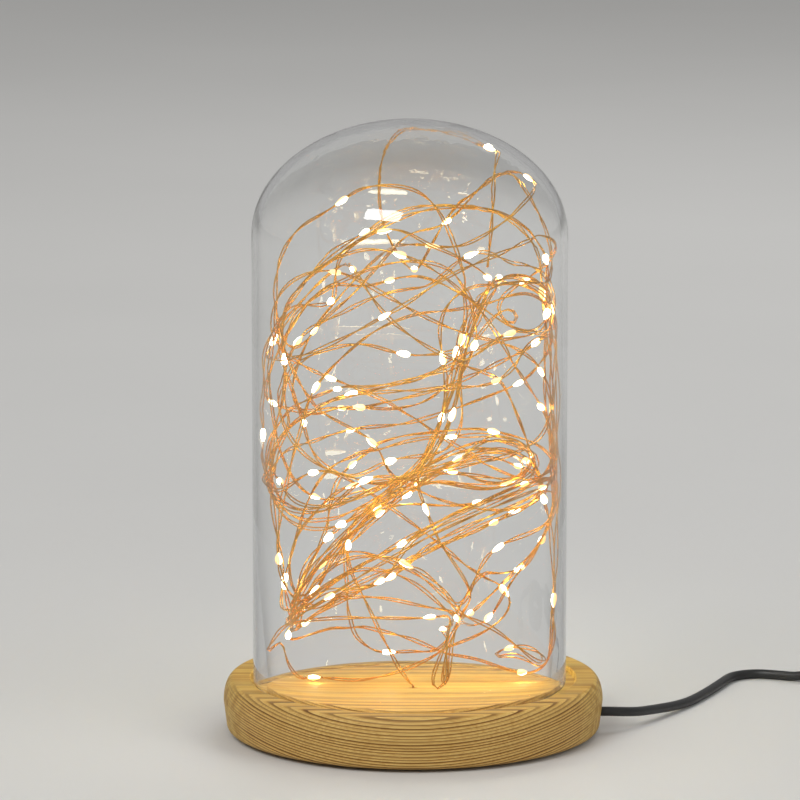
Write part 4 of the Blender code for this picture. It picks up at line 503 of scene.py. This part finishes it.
def make_wood():
    """Flat-sawn pine: growth rings round a pith that lies along X, far below the base."""
    made = Shader("pine_turned")
    parts = made.node("SeparateXYZ", {0: made.place()})
    sway = made.noise(made.place(scale=(4.0, 9.0, 9.0)), 1.0, 1.0)
    sway = made.math("MULTIPLY", made.math("SUBTRACT", sway, 0.5), GRAIN_SWAY)
    across = made.math("ADD", made.math("SUBTRACT", parts.outputs["Y"], PITH_Y), sway)
    up = made.math("SUBTRACT", parts.outputs["Z"], PITH_Z)
    squares = made.math("ADD", made.math("POWER", across, 2.0), made.math("POWER", up, 2.0))
    from_pith = made.math("SQRT", squares)
    seasons = made.node("CombineXYZ", {"X": from_pith}).outputs["Vector"]
    uneven = made.math("MULTIPLY", made.noise(seasons, 420.0, 1.0), RING_UNEVEN)
    ripple = made.noise(made.place(scale=(10.0, 60.0, 60.0)), 1.0, 2.0, 0.5)
    rings = made.math("ADD", made.math("DIVIDE", from_pith, RING_PITCH), uneven)
    rings = made.math("ADD", rings, made.math("MULTIPLY", ripple, 0.35))
    ring = made.math("FLOOR", rings)
    within = made.math("FRACT", rings)
    band = made.ramp(within, RING_COLOURS)
    strength = made.node("TexWhiteNoise", {"W": ring}, noise_dimensions="1D").outputs["Value"]
    toned = made.mix(made.remap(strength, 0.3, 1.0, 0.0, 0.45), band, FAINT_RING)
    fibres = made.noise(made.place(scale=(40.0, 1900.0, 1900.0)), 1.0, 3.0, 0.65)
    plain = made.remap(made.math("ABSOLUTE", across), PLAIN_HALF_WIDTH, 2 * PLAIN_HALF_WIDTH, 0.7, 0.0)
    toned = made.mix(plain, toned, PLAIN_WOOD)
    streaks = made.mix(made.remap(fibres, 0.35, 0.7, 0.0, 0.55), toned, FIBRE_STREAKS, "MULTIPLY")
    broad = made.noise(made.place(scale=(5.0, 260.0, 260.0)), 1.0, 3.0, 0.6)
    broad = made.math("MULTIPLY", made.remap(broad, 0.44, 0.62), made.math("ADD", plain, 0.15))
    streaks = made.mix(broad, streaks, BROAD_STREAKS, "MULTIPLY")
    flecks = made.noise(made.place(scale=(150.0, 3800.0, 3800.0), shift=(3.0, 1.0, 7.0)), 1.0, 1.0)
    flecks = made.remap(flecks, 0.70, 0.78)
    whole = made.mix(made.math("MULTIPLY", flecks, 0.45), streaks, PORE_COLOUR)
    made.set(
        Base_Color=whole,
        Roughness=made.remap(made.math("ADD", fibres, within), 0.4, 1.5, 0.62, 0.46),
        Specular_IOR_Level=0.2,
    )
    height = made.math("ADD", made.math("MULTIPLY", within, 0.5), made.math("MULTIPLY", fibres, 0.6))
    made.bump(made.math("SUBTRACT", height, flecks), PORE_DEPTH)
    return made.material


def make_glass():
    """Clear blown glass, slightly wavy towards the crown. Shadow rays pass straight through it."""
    made = Shader("dome_glass_clear")
    parts = made.node("SeparateXYZ", {0: made.place()})
    crown = made.remap(parts.outputs["Z"], *WAVY_HEIGHTS, WALL_WAVES, 1.0)
    waves = made.noise(made.place(scale=(1.0, 1.0, 0.7)), 75.0, 2.0)
    ripples = made.noise(made.place(), 300.0, 1.0)
    waves = made.math("ADD", waves, made.math("MULTIPLY", ripples, 0.25))
    made.set(
        Base_Color=GLASS_TINT,
        Roughness=made.remap(made.noise(made.place(), 45.0, 4.0), 0.5, 0.8, 0.0, 0.02),
        Transmission_Weight=1.0,
        IOR=GLASS_IOR,
    )
    made.bump(made.math("MULTIPLY", waves, crown), WAVE_DEPTH)
    clear = made.node("BsdfTransparent", {"Color": GLASS_SHADOW})
    shadow = made.node("LightPath").outputs["Is Shadow Ray"]
    both = made.node("MixShader", {0: shadow, 1: made.main.outputs[0], 2: clear.outputs[0]})
    made.join(made.output.inputs["Surface"], both.outputs[0])
    return made.material


def make_light_drop():
    """The resin over a lit LED: white over the chip, amber round the back."""
    made = Shader("led_resin")
    over_chip = made.node("Attribute", attribute_name=CHIP_SIDE).outputs["Fac"]
    lit = made.remap(over_chip, 0.25, 0.80)
    beam = made.math("MULTIPLY", made.math("POWER", lit, 4.0), CHIP_STRENGTH)
    made.set(
        Base_Color=RESIN_COLOUR,
        Roughness=0.12,
        IOR=1.5,
        Emission_Color=made.ramp(lit, LED_COLOURS),
        Emission_Strength=made.math("ADD", beam, BACK_STRENGTH),
    )
    return made.material


def make_copper():
    """Copper wire under a thin clear enamel, with a duller tone here and there."""
    made = Shader("copper_enamelled")
    tone = made.noise(made.place(), 110.0, 2.0)
    made.set(
        Base_Color=made.mix(made.remap(tone, 0.35, 0.7), COPPER, DULL_COPPER),
        Metallic=1.0,
        Roughness=made.remap(tone, 0.3, 0.7, 0.17, 0.3),
        Coat_Weight=0.1,
        Coat_Roughness=0.15,
    )
    return made.material


def make_cover_board():
    """Fibreboard: short mixed fibres in two browns."""
    made = Shader("cover_fibreboard")
    fibres = made.noise(made.place(scale=(1.0, 0.35, 1.0)), 1900.0, 3.0, 0.7)
    chips = made.noise(made.place(), 420.0, 2.0)
    paler = made.remap(made.math("ADD", fibres, chips), 0.75, 1.25)
    made.set(
        Base_Color=made.mix(paler, (0.30, 0.20, 0.11), (0.50, 0.36, 0.21)),
        Roughness=made.remap(fibres, 0.3, 0.7, 0.66, 0.82),
    )
    made.bump(fibres, 0.05 * MM)
    return made.material


def make_floor():
    """The pale table that the lamp stands on."""
    made = Shader("pale_floor")
    cloud = made.noise(made.place(), 2.2, 4.0)
    made.set(
        Base_Color=made.mix(made.remap(cloud, 0.3, 0.7), *FLOOR_GREYS),
        Roughness=0.6,
    )
    return made.material


def arc(centre, radii, start, end, steps):
    """Points of an elliptical arc from start to end degrees, both ends included."""
    made = []
    for k in range(steps + 1):
        angle = math.radians(start + (end - start) * k / steps)
        made.append((centre[0] + radii[0] * math.cos(angle), centre[1] + radii[1] * math.sin(angle)))
    return made


def bridge(build, low, high):
    """The faces between two rings of points. A ring of one point is a tip."""
    sides = max(len(low), len(high))
    for k in range(sides):
        after = (k + 1) % sides
        lower = (low[k % len(low)], low[after % len(low)])
        upper = (high[after % len(high)], high[k % len(high)])
        build.faces.new(list(dict.fromkeys(lower + upper)))


def turned(name, outline, sides, look):
    """A closed outline of (radius, height) points, spun about the vertical axis."""
    build = bmesh.new()
    rings = []
    for radius, height in outline:
        if radius < TIP_RADIUS:
            rings.append([build.verts.new((0.0, 0.0, height))])
            continue
        angles = [math.tau * k / sides for k in range(sides)]
        rings.append([build.verts.new((radius * math.cos(a), radius * math.sin(a), height)) for a in angles])
    for low, high in zip(rings, rings[1:] + rings[:1]):
        if len(low) > 1 or len(high) > 1:
            bridge(build, low, high)
    return finish_mesh(build, name, look)


def finish_mesh(build, name, look):
    bmesh.ops.recalc_face_normals(build, faces=build.faces)
    data = bpy.data.meshes.new(name)
    build.to_mesh(data)
    build.free()
    data.shade_smooth()
    data.set_sharp_from_angle(angle=SHARP_ANGLE)
    data.materials.append(look)
    return link(bpy.data.objects.new(name, data))


def tube(name, lines, radius, look, bevel_steps=4):
    """A round cord or wire along each line of points, as one curve object."""
    data = bpy.data.curves.new(name, "CURVE")
    data.dimensions = "3D"
    data.bevel_depth = radius
    data.bevel_resolution = bevel_steps
    data.use_fill_caps = True
    for points in lines:
        line = data.splines.new("POLY")
        line.points.add(len(points) - 1)
        line.points.foreach_set("co", np.column_stack([points, np.ones(len(points))]).ravel())
        line.use_smooth = True
    data.materials.append(look)
    return link(bpy.data.objects.new(name, data))


def catmull(values, at):
    """The smooth curve through a row of values, read at a place along the row."""
    last = len(values) - 1
    k = min(max(int(math.floor(at)), 0), last - 1)
    t = at - k
    before, start, end, after = values[max(k - 1, 0)], values[k], values[k + 1], values[min(k + 2, last)]
    return (
        (2 * t**3 - 3 * t**2 + 1) * start
        + (t**3 - 2 * t**2 + t) * (end - before) * 0.5
        + (3 * t**2 - 2 * t**3) * end
        + (t**3 - t**2) * (after - start) * 0.5
    )


def even_points(points, spacing):
    """The same line, with its points an equal distance apart that is about spacing."""
    along = distances(points)
    count = max(int(round(along[-1] / spacing)), 1)
    places = np.linspace(0.0, along[-1], count + 1)
    return np.column_stack([np.interp(places, along, points[:, axis]) for axis in range(3)])


def distances(points):
    steps = np.linalg.norm(np.diff(points, axis=0), axis=1)
    return np.concatenate([[0.0], np.cumsum(steps)])


def smooth_route(points_mm, spacing):
    """The smooth curve through given points in millimetres, with a point about every spacing."""
    knots = [np.array(point, float) * MM for point in points_mm]
    count = STEPS_PER_KNOT * (len(knots) - 1) + 1
    dense = [catmull(knots, k / STEPS_PER_KNOT) for k in range(count)]
    return even_points(np.array(dense), spacing)


def coil_points():
    """Two layers of turns: in along the lower one, a climbing half turn, and out along the upper one."""
    pitch = 2 * CORD_RADIUS + COIL_GAP
    low = CORD_RADIUS + COIL_LIFT
    middle = COIL_TURNS_PER_LAYER
    start = (COIL_CENTRE[0] + COIL_OUTER, COIL_CENTRE[1])
    made = [(start[0], start[1] + 2 * CORD_RADIUS, low)]
    for k in range(2 * middle * COIL_POINTS + 1):
        turn = k / COIL_POINTS
        climb = min(max((turn - middle) / COIL_CLIMB + 0.5, 0.0), 1.0)
        layers = climb * climb * (3 - 2 * climb)
        radius = COIL_OUTER - pitch * (middle - abs(turn - middle))
        angle = -math.tau * turn
        x = COIL_CENTRE[0] + radius * math.cos(angle)
        y = COIL_CENTRE[1] + radius * math.sin(angle)
        made.append((x, y, low + pitch * layers))
    made.append((start[0], start[1] - 2 * CORD_RADIUS, low + pitch))
    return np.array(made)


def on_sight_line(across, up, depth):
    """The point at a depth behind the lamp's middle plane that VIEWPOINT sees at (across, up) on it."""
    eye = np.array(VIEWPOINT)
    through = np.array([across * MM, 0.0, up * MM])
    return eye + (through - eye) * (1.0 - depth / eye[1])


def seen_places(points):
    """Where VIEWPOINT sees points, as (across, up) on the lamp's middle plane, in metres."""
    eye = np.array(VIEWPOINT)
    share = eye[1] / (eye[1] - points[:, 1])
    return (eye + (points - eye) * share[:, None])[:, [0, 2]]


def smoothed(field, passes):
    for _ in range(passes):
        field[1:-1] = 0.25 * field[:-2] + 0.5 * field[1:-1] + 0.25 * field[2:]
    return field


def nest_points():
    """The string's centre line: up from the board through the wood, then along its route."""
    free = DOME_RADIUS - DOME_WALL - DROP_RADIUS - WALL_CLEARANCE
    knots = [np.array([0.0, 0.0, height]) for height in (-STEM_LENGTH, -0.5 * STEM_LENGTH, 0.0)]
    knots.append(np.array(FIRST_BEND))
    for share, places in STRING_ROUTE:
        for across, up in places:
            out = across * MM - DOME_X
            depth = share * math.sqrt(max(free**2 - out**2, LEAST_DEPTH**2))
            knots.append(on_sight_line(across, up, depth))
    count = STEPS_PER_PLACE * (len(knots) - 1) + 1
    dense = [catmull(knots, k / STEPS_PER_PLACE) for k in range(count)]
    line = even_points(np.array(dense), ROUTE_STEP)
    rounded = smoothed(line.copy(), ROUNDING_PASSES)
    held = distances(line) < STEM_LENGTH + ROUTE_STEP
    rounded[held] = line[held]
    return even_points(rounded, ROUTE_STEP)


def match_lights(line):
    """For each LED, the number of its point on the line and of its place, if one is near enough."""
    along = distances(line)
    seen = seen_places(line) / MM
    choices = []
    leds = []
    for led in range(int((along[-1] - FIRST_LED - DROP_LENGTH) / LED_PITCH) + 1):
        even_place = FIRST_LED + LED_PITCH * led
        leds.append(int(np.argmin(np.abs(along - even_place))))
        near = np.flatnonzero(np.abs(along - even_place) < LED_SLIDE)
        for number, place in enumerate(LED_PLACES):
            miss = np.hypot(seen[near, 0] - place[0], seen[near, 1] - place[1])
            best = int(np.argmin(miss))
            slide = abs(along[near[best]] - even_place) / MM
            choices.append((miss[best] + SLIDE_COST * slide, led, number, int(near[best])))
    matched = {}
    for miss, led, number, at in sorted(choices):
        taken = led in matched or number in matched.values()
        if not taken and miss * MM < LED_REACH:
            matched[led] = number
            leds[led] = at
    return leds, matched


def place_lights(line):
    """The point of each LED on the line, and the line drawn over to where the LEDs show."""
    along = distances(line)
    leds, matched = match_lights(line)
    moved = line.copy()
    for led, number in matched.items():
        at = leds[led]
        pull = on_sight_line(*LED_PLACES[number], line[at, 1]) - line[at]
        width = max(PULL_WIDTH, PULL_SPREAD * float(np.linalg.norm(pull)))
        share = np.clip(1.0 - np.abs(along - along[at]) / width, 0.0, 1.0)
        moved += (share * share * (3 - 2 * share))[:, None] * pull
    return moved, leds


def room_needed(line, leds):
    """How far the string's centre stays from what is round it, which is more near an LED."""
    along = distances(line)
    needed = np.full(len(line), WIRE_RADIUS)
    for at in leds:
        away = np.abs(along - along[at])
        near = np.clip((LED_ROOM - away) / (LED_ROOM - 0.5 * DROP_LENGTH), 0.0, 1.0)
        needed = np.maximum(needed, WIRE_RADIUS + (DROP_RADIUS - WIRE_RADIUS) * near)
    return needed + WALL_CLEARANCE


def keep_inside(points, fixed, needed):
    """Points moved in from the glass and up from the wood, apart from the first few, which stay."""
    crown_foot = DOME_FOOT + DOME_HEIGHT - CROWN_RISE - WOOD_TOP
    middle = np.array([DOME_X, 0.0])
    offset = points[:, :2] - middle
    above = np.maximum(points[:, 2] - crown_foot, 0.0)
    out = np.linalg.norm(offset, axis=1) / (DOME_RADIUS - DOME_WALL - needed)
    share = 1.0 / np.maximum(np.hypot(out, above / (CROWN_RISE - DOME_WALL - needed)), 1.0)
    kept = points.copy()
    kept[:, :2] = middle + offset * share[:, None]
    kept[:, 2] = np.maximum(points[:, 2] - above * (1.0 - share), needed)
    kept[:fixed] = points[:fixed]
    return kept


def loosen(line, fixed, leds):
    """The string moved until few stretches of it touch."""
    needed = room_needed(line, leds)
    line = keep_inside(line, fixed, needed)
    wanted = 2 * (STRAND_RADIUS + STRAND_SPREAD) + STRING_GAP
    for _ in range(LOOSEN_ROUNDS):
        along = distances(line)
        tree = KDTree(len(line))
        for k, place in enumerate(line):
            tree.insert(place, k)
        tree.balance()
        push = np.zeros_like(line)
        found = 0
        for k, place in enumerate(line):
            for _, other, distance in tree.find_range(place, wanted):
                if other > k and along[other] - along[k] > APART_ALONG:
                    away = place - line[other]
                    away = away / distance if distance > TOUCHING else np.array(ANY_WAY)
                    push[k] += away * (wanted - distance)
                    push[other] -= away * (wanted - distance)
                    found += 1
        if not found:
            break
        line = keep_inside(line + smoothed(push, 2), fixed, needed)
    return line


def across_line(line):
    """Two directions across the line at each point, turned as little as possible along it."""
    tangents = np.gradient(line, axis=0)
    tangents /= np.linalg.norm(tangents, axis=1)[:, None]
    first = np.cross(tangents[0], (0.0, 1.0, 0.0))
    sides = [first / np.linalg.norm(first)]
    for tangent in tangents[1:]:
        side = sides[-1] - tangent * float(sides[-1] @ tangent)
        sides.append(side / np.linalg.norm(side))
    sides = np.array(sides)
    return sides, np.cross(tangents, sides)


def wandering(along, step, low_high, rng):
    """A value that drifts between two bounds along a line, with a new random one at every step."""
    count = int(along[-1] / step) + 3
    return np.interp(along, step * np.arange(count), rng.uniform(*low_high, count))


def strands(line, leds):
    """The string's two wires, loosely twisted, and drawn together at each LED."""
    along = distances(line)
    side, other = across_line(line)
    rng = np.random.default_rng(STRAND_SEED)
    drift = wandering(along, TWIST_DRIFT_STEP, TWIST_DRIFT, rng)
    spread = STRAND_SPREAD * wandering(along, SPREAD_STEP, SPREAD_SHARE, rng)
    for at in leds:
        away = np.abs(along - along[at])
        spread *= np.clip(away / PINCH_REACH, PINCH_LEAST, 1.0)
    turn = math.tau * along / STRAND_TWIST + drift
    offset = spread[:, None] * (np.cos(turn)[:, None] * side + np.sin(turn)[:, None] * other)
    return [line + offset, line - offset]


def add_drops(line, leds, look):
    """A drop of resin on the wires at each LED, blunt at one end and thin at the other."""
    along = distances(line)
    rng = np.random.default_rng(DROP_SEED)
    build = bmesh.new()
    chip_side = build.verts.layers.float.new(CHIP_SIDE)
    for at_led in leds:
        middle = along[at_led]
        ends = [
            np.array([np.interp(middle + shift, along, line[:, axis]) for axis in range(3)])
            for shift in (-0.5 * DROP_LENGTH, 0.5 * DROP_LENGTH)
        ]
        axis = ends[1] - ends[0]
        axis /= np.linalg.norm(axis)
        if rng.random() < DROP_TURNED_SHARE:
            axis = -axis
        start = 0.5 * (ends[0] + ends[1]) - 0.5 * DROP_LENGTH * axis
        side = np.cross(axis, (0.3, 0.2, 1.0))
        side /= np.linalg.norm(side)
        other = np.cross(axis, side)
        long = DROP_LENGTH * rng.uniform(*DROP_LONG)
        wide = DROP_RADIUS * rng.uniform(*DROP_WIDE)
        flat = rng.uniform(*DROP_FLAT)
        bend = rng.uniform(-DROP_BEND, DROP_BEND)
        chip = rng.uniform(0.0, math.tau)
        rings = []
        for radius, at in DROP_PROFILE:
            centre = start + axis * long * at + side * bend * math.sin(math.pi * at)
            if radius == 0.0:
                rings.append([build.verts.new(centre)])
                rings[-1][0][chip_side] = 0.5
                continue
            ring = []
            for k in range(DROP_SIDES):
                angle = math.tau * k / DROP_SIDES
                out = side * math.cos(angle) + other * flat * math.sin(angle)
                ring.append(build.verts.new(centre + out * radius * wide))
                ring[-1][chip_side] = 0.5 + 0.5 * math.cos(angle - chip) * radius
            rings.append(ring)
        for low, high in zip(rings, rings[1:]):
            bridge(build, low, high)
    return finish_mesh(build, "string_light_drops", look)


def add_string(copper, resin):
    nest = nest_points()
    in_stem = int((distances(nest) < STEM_LENGTH + ROUTE_STEP).sum())
    line, leds = place_lights(keep_inside(nest, in_stem, room_needed(nest, ())))
    line = loosen(line, in_stem, leds)
    line[:, 2] += WOOD_TOP
    print(f"string: {distances(line)[-1]:.2f} m, {len(leds)} LEDs")
    wires = tube("string_copper_wires", strands(line, leds), STRAND_RADIUS, copper, 1)
    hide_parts("led_string")
    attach(wires, "lamp_base")
    drops = add_drops(line, leds, resin)
    drops.visible_diffuse = False
    drops.visible_shadow = False
    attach(drops, "lamp_base")
    for k, at in enumerate(leds):
        if line[at, 2] < WOOD_TOP + LOW_LED_HEIGHT:
            add_point_light(f"low_led_glow_{k + 1}", line[at], LOW_LED_POWER, DROP_RADIUS)


def add_dome(look):
    inner = DOME_RADIUS - DOME_WALL
    crown_foot = DOME_HEIGHT - CROWN_RISE
    lip = DOME_WALL / 2
    outline = arc((inner + lip, lip), (lip, lip), 180.0, 360.0, LIP_STEPS)
    outline += arc((0.0, crown_foot), (DOME_RADIUS, CROWN_RISE), 0.0, 90.0, CROWN_STEPS)
    outline += arc((0.0, crown_foot), (inner, CROWN_RISE - DOME_WALL), 90.0, 0.0, CROWN_STEPS)
    dome = turned("dome_clear_glass", outline, DOME_SIDES, look)
    dome.data.transform(Matrix.Translation((DOME_X, 0.0, DOME_FOOT)))
    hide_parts("glass_dome")
    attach(dome, "dome")


def wood_outline():
    """The base's section, from the wire hole's top edge out over the rim and back along the underside."""
    edge = GROOVE_EDGE
    land = BASE_RADIUS - RIM_SWELL
    widest = WOOD_TOP - RIM_DROP
    foot = BASE_RADIUS - SIDE_TAPER
    soft = WIRE_HOLE_EDGE
    outline = arc((WIRE_HOLE_RADIUS + soft, WOOD_TOP - soft), (soft, soft), 180.0, 90.0, 3)
    outline += arc((DISC_RADIUS - edge, WOOD_TOP - edge), (edge, edge), 90.0, 0.0, 5)
    outline += arc((DISC_RADIUS + edge, GROOVE_FLOOR + edge), (edge, edge), 180.0, 270.0, 4)
    outline += arc((GROOVE_RADIUS - edge, GROOVE_FLOOR + edge), (edge, edge), 270.0, 360.0, 4)
    outline += arc((GROOVE_RADIUS + edge, WOOD_TOP - edge), (edge, edge), 180.0, 90.0, 5)
    outline += arc((land, widest), (RIM_SWELL, RIM_DROP), 90.0, 0.0, 18)
    low = (foot - BOTTOM_ROUND, WOOD_BOTTOM + BOTTOM_ROUND)
    outline += arc(low, (BOTTOM_ROUND, BOTTOM_ROUND), 0.0, -90.0, 8)
    outline += [(COVER_RADIUS, WOOD_BOTTOM), (COVER_RADIUS, REBATE_ROOF)]
    outline += [(POCKET_RADIUS, REBATE_ROOF), (POCKET_RADIUS, POCKET_ROOF)]
    outline += [(WIRE_HOLE_RADIUS, POCKET_ROOF)]
    return outline


def add_wood(look):
    base = turned("base_turned_wood", wood_outline(), BASE_SIDES, look)
    build = bmesh.new()
    middle = Matrix.Translation((BORE_MIDDLE, 0.0, CORD_EXIT_HEIGHT))
    bmesh.ops.create_cone(
        build,
        cap_ends=True,
        segments=BORE_SIDES,
        radius1=CORD_BORE,
        radius2=CORD_BORE,
        depth=BORE_LENGTH,
        matrix=middle @ Matrix.Rotation(math.pi / 2, 4, "Y"),
    )
    cutter = finish_mesh(build, "bore_tool", look)
    step = base.modifiers.new("bore", "BOOLEAN")
    step.operation = "DIFFERENCE"
    step.solver = "EXACT"
    step.object = cutter
    bpy.context.view_layer.update()
    whole = bpy.data.meshes.new_from_object(base.evaluated_get(bpy.context.evaluated_depsgraph_get()))
    base.modifiers.clear()
    base.data = whole
    whole.shade_smooth()
    whole.set_sharp_from_angle(angle=SHARP_ANGLE)
    bpy.data.objects.remove(cutter)
    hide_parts("wood_base")
    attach(base, "lamp_base")


def add_cords(look):
    first = smooth_route(RUN_TO_SWITCH, CORD_STEP)
    to_coil = smooth_route(RUN_TO_COIL, CORD_STEP)
    to_plug = smooth_route(RUN_TO_PLUG, CORD_STEP)
    second = even_points(np.vstack([to_coil[:-1], coil_points(), to_plug[1:]]), CORD_STEP)
    near = tube("cord_base_to_switch", [first], CORD_RADIUS, look)
    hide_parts("power_cord_run_1")
    far = tube("cord_switch_to_plug", [second], CORD_RADIUS, look)
    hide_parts("power_cord_run_2", "power_cord_coil", "power_cord_run_3")
    for cord in (near, far):
        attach(cord, "lamp_base")


def dress(look, *prefixes):
    """Gives carried-over nodes, by the start of their names, a better material."""
    for name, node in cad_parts.items():
        if name.startswith(prefixes):
            node.data.materials.clear()
            node.data.materials.append(look)


def add_camera():
    forward = Vector((0.0, math.cos(CAMERA_PITCH), -math.sin(CAMERA_PITCH)))
    data = bpy.data.cameras.new("camera")
    data.sensor_width = SENSOR_WIDTH
    data.lens = FOCAL_PIXELS / PICTURE_SIDE * SENSOR_WIDTH
    data.clip_end = FARTHEST_SEEN
    made = link(bpy.data.objects.new("camera", data))
    made.location = LOOK_AT - CAMERA_DISTANCE * forward
    made.rotation_euler = (math.pi / 2 - CAMERA_PITCH, 0.0, 0.0)
    bpy.context.scene.camera = made


def add_area_light(name, at, size, power):
    data = bpy.data.lights.new(name, "AREA")
    data.shape = "RECTANGLE"
    data.size, data.size_y = size
    data.energy = power
    made = link(bpy.data.objects.new(name, data))
    made.location = at
    made.rotation_euler = (Vector(LIGHTS_AIM) - Vector(at)).to_track_quat("-Z", "Y").to_euler()
    made.visible_transmission = False
    return made


def add_point_light(name, at, power, radius):
    """The warm light of LEDs: nothing shows or mirrors its source."""
    data = bpy.data.lights.new(name, "POINT")
    data.energy = power
    data.color = LED_LIGHT_COLOUR
    data.shadow_soft_size = radius
    made = link(bpy.data.objects.new(name, data))
    made.location = at
    made.visible_camera = False
    made.visible_glossy = False
    made.visible_transmission = False


def add_lighting():
    world = bpy.data.worlds.new("studio")
    world.use_nodes = True
    shade = world.node_tree.nodes["Background"]
    shade.inputs["Color"].default_value = SKY_COLOUR
    shade.inputs["Strength"].default_value = SKY_STRENGTH
    bpy.context.scene.world = world
    for row in STUDIO_LIGHTS:
        add_area_light(*row).visible_glossy = False
    add_area_light(*GLINT_LIGHT).visible_diffuse = False
    for k in range(GLOW_LIGHTS):
        angle = GLOW_TURN * k
        at = (GLOW_OUT * math.cos(angle), GLOW_OUT * math.sin(angle), GLOW_LOWEST + GLOW_RISE * k)
        add_point_light(f"string_glow_{k + 1}", at, GLOW_POWER, GLOW_SIZE)


def add_floor(look):
    build = bmesh.new()
    bmesh.ops.create_circle(build, cap_ends=True, segments=FLOOR_SIDES, radius=FLOOR_RADIUS)
    floor = finish_mesh(build, "floor", look)


add_camera()
add_lighting()
add_floor(make_floor())
add_cords(plastic("cord_pvc", (0.012, 0.012, 0.012), 0.4, 900.0, 0.02 * MM))
add_string(make_copper(), make_light_drop())
add_wood(make_wood())
add_dome(make_glass())
shell = plastic("switch_plastic", (0.02, 0.02, 0.021), 0.45, 2600.0, 0.03 * MM)
steel = metal("zinc_plated_steel", (0.72, 0.73, 0.74), (0.56, 0.57, 0.58), 0.28)
drawn = metal(
    "drawn_steel", (0.74, 0.75, 0.76), (0.64, 0.65, 0.66), 0.25, (0.04, 1.0, 1.0), 2200.0, 0.004 * MM
)
brass = metal("contact_brass_plate", (0.86, 0.66, 0.32), (0.66, 0.47, 0.20), 0.28)
dress(make_cover_board(), "bottom_cover")
dress(plastic("foot_rubber_matt", (0.03, 0.03, 0.03), 0.8, 1500.0, 0.05 * MM), "foot_pad")
dress(plastic("board_mask_green", (0.02, 0.17, 0.08), 0.35, 700.0, 0.02 * MM), "circuit_board")
dress(plastic("resistor_lacquer", (0.66, 0.54, 0.34), 0.5, 1800.0, 0.03 * MM, 1.1), "ballast_resistor")
dress(plastic("white_nylon", (0.82, 0.82, 0.80), 0.45, 1400.0, 0.02 * MM, 1.05), "board_spacer", "usb_tongue")
dress(plastic("core_red_pvc", (0.52, 0.03, 0.03), 0.45, 1200.0, 0.01 * MM, 1.2), "core_red")
dress(bpy.data.materials["cord_pvc"], "cord_tail", "core_black")
dress(shell, "switch_lower_shell", "switch_upper_shell", "switch_rocker", "usb_overmould")
dress(steel, "cover_screw", "board_screw", "cord_clamp", "clamp_screw", "switch_screw")
dress(drawn, "usb_shell")
dress(brass, "switch_contact", "usb_contact")
bpy.context.scene.view_settings.view_transform = "Standard"
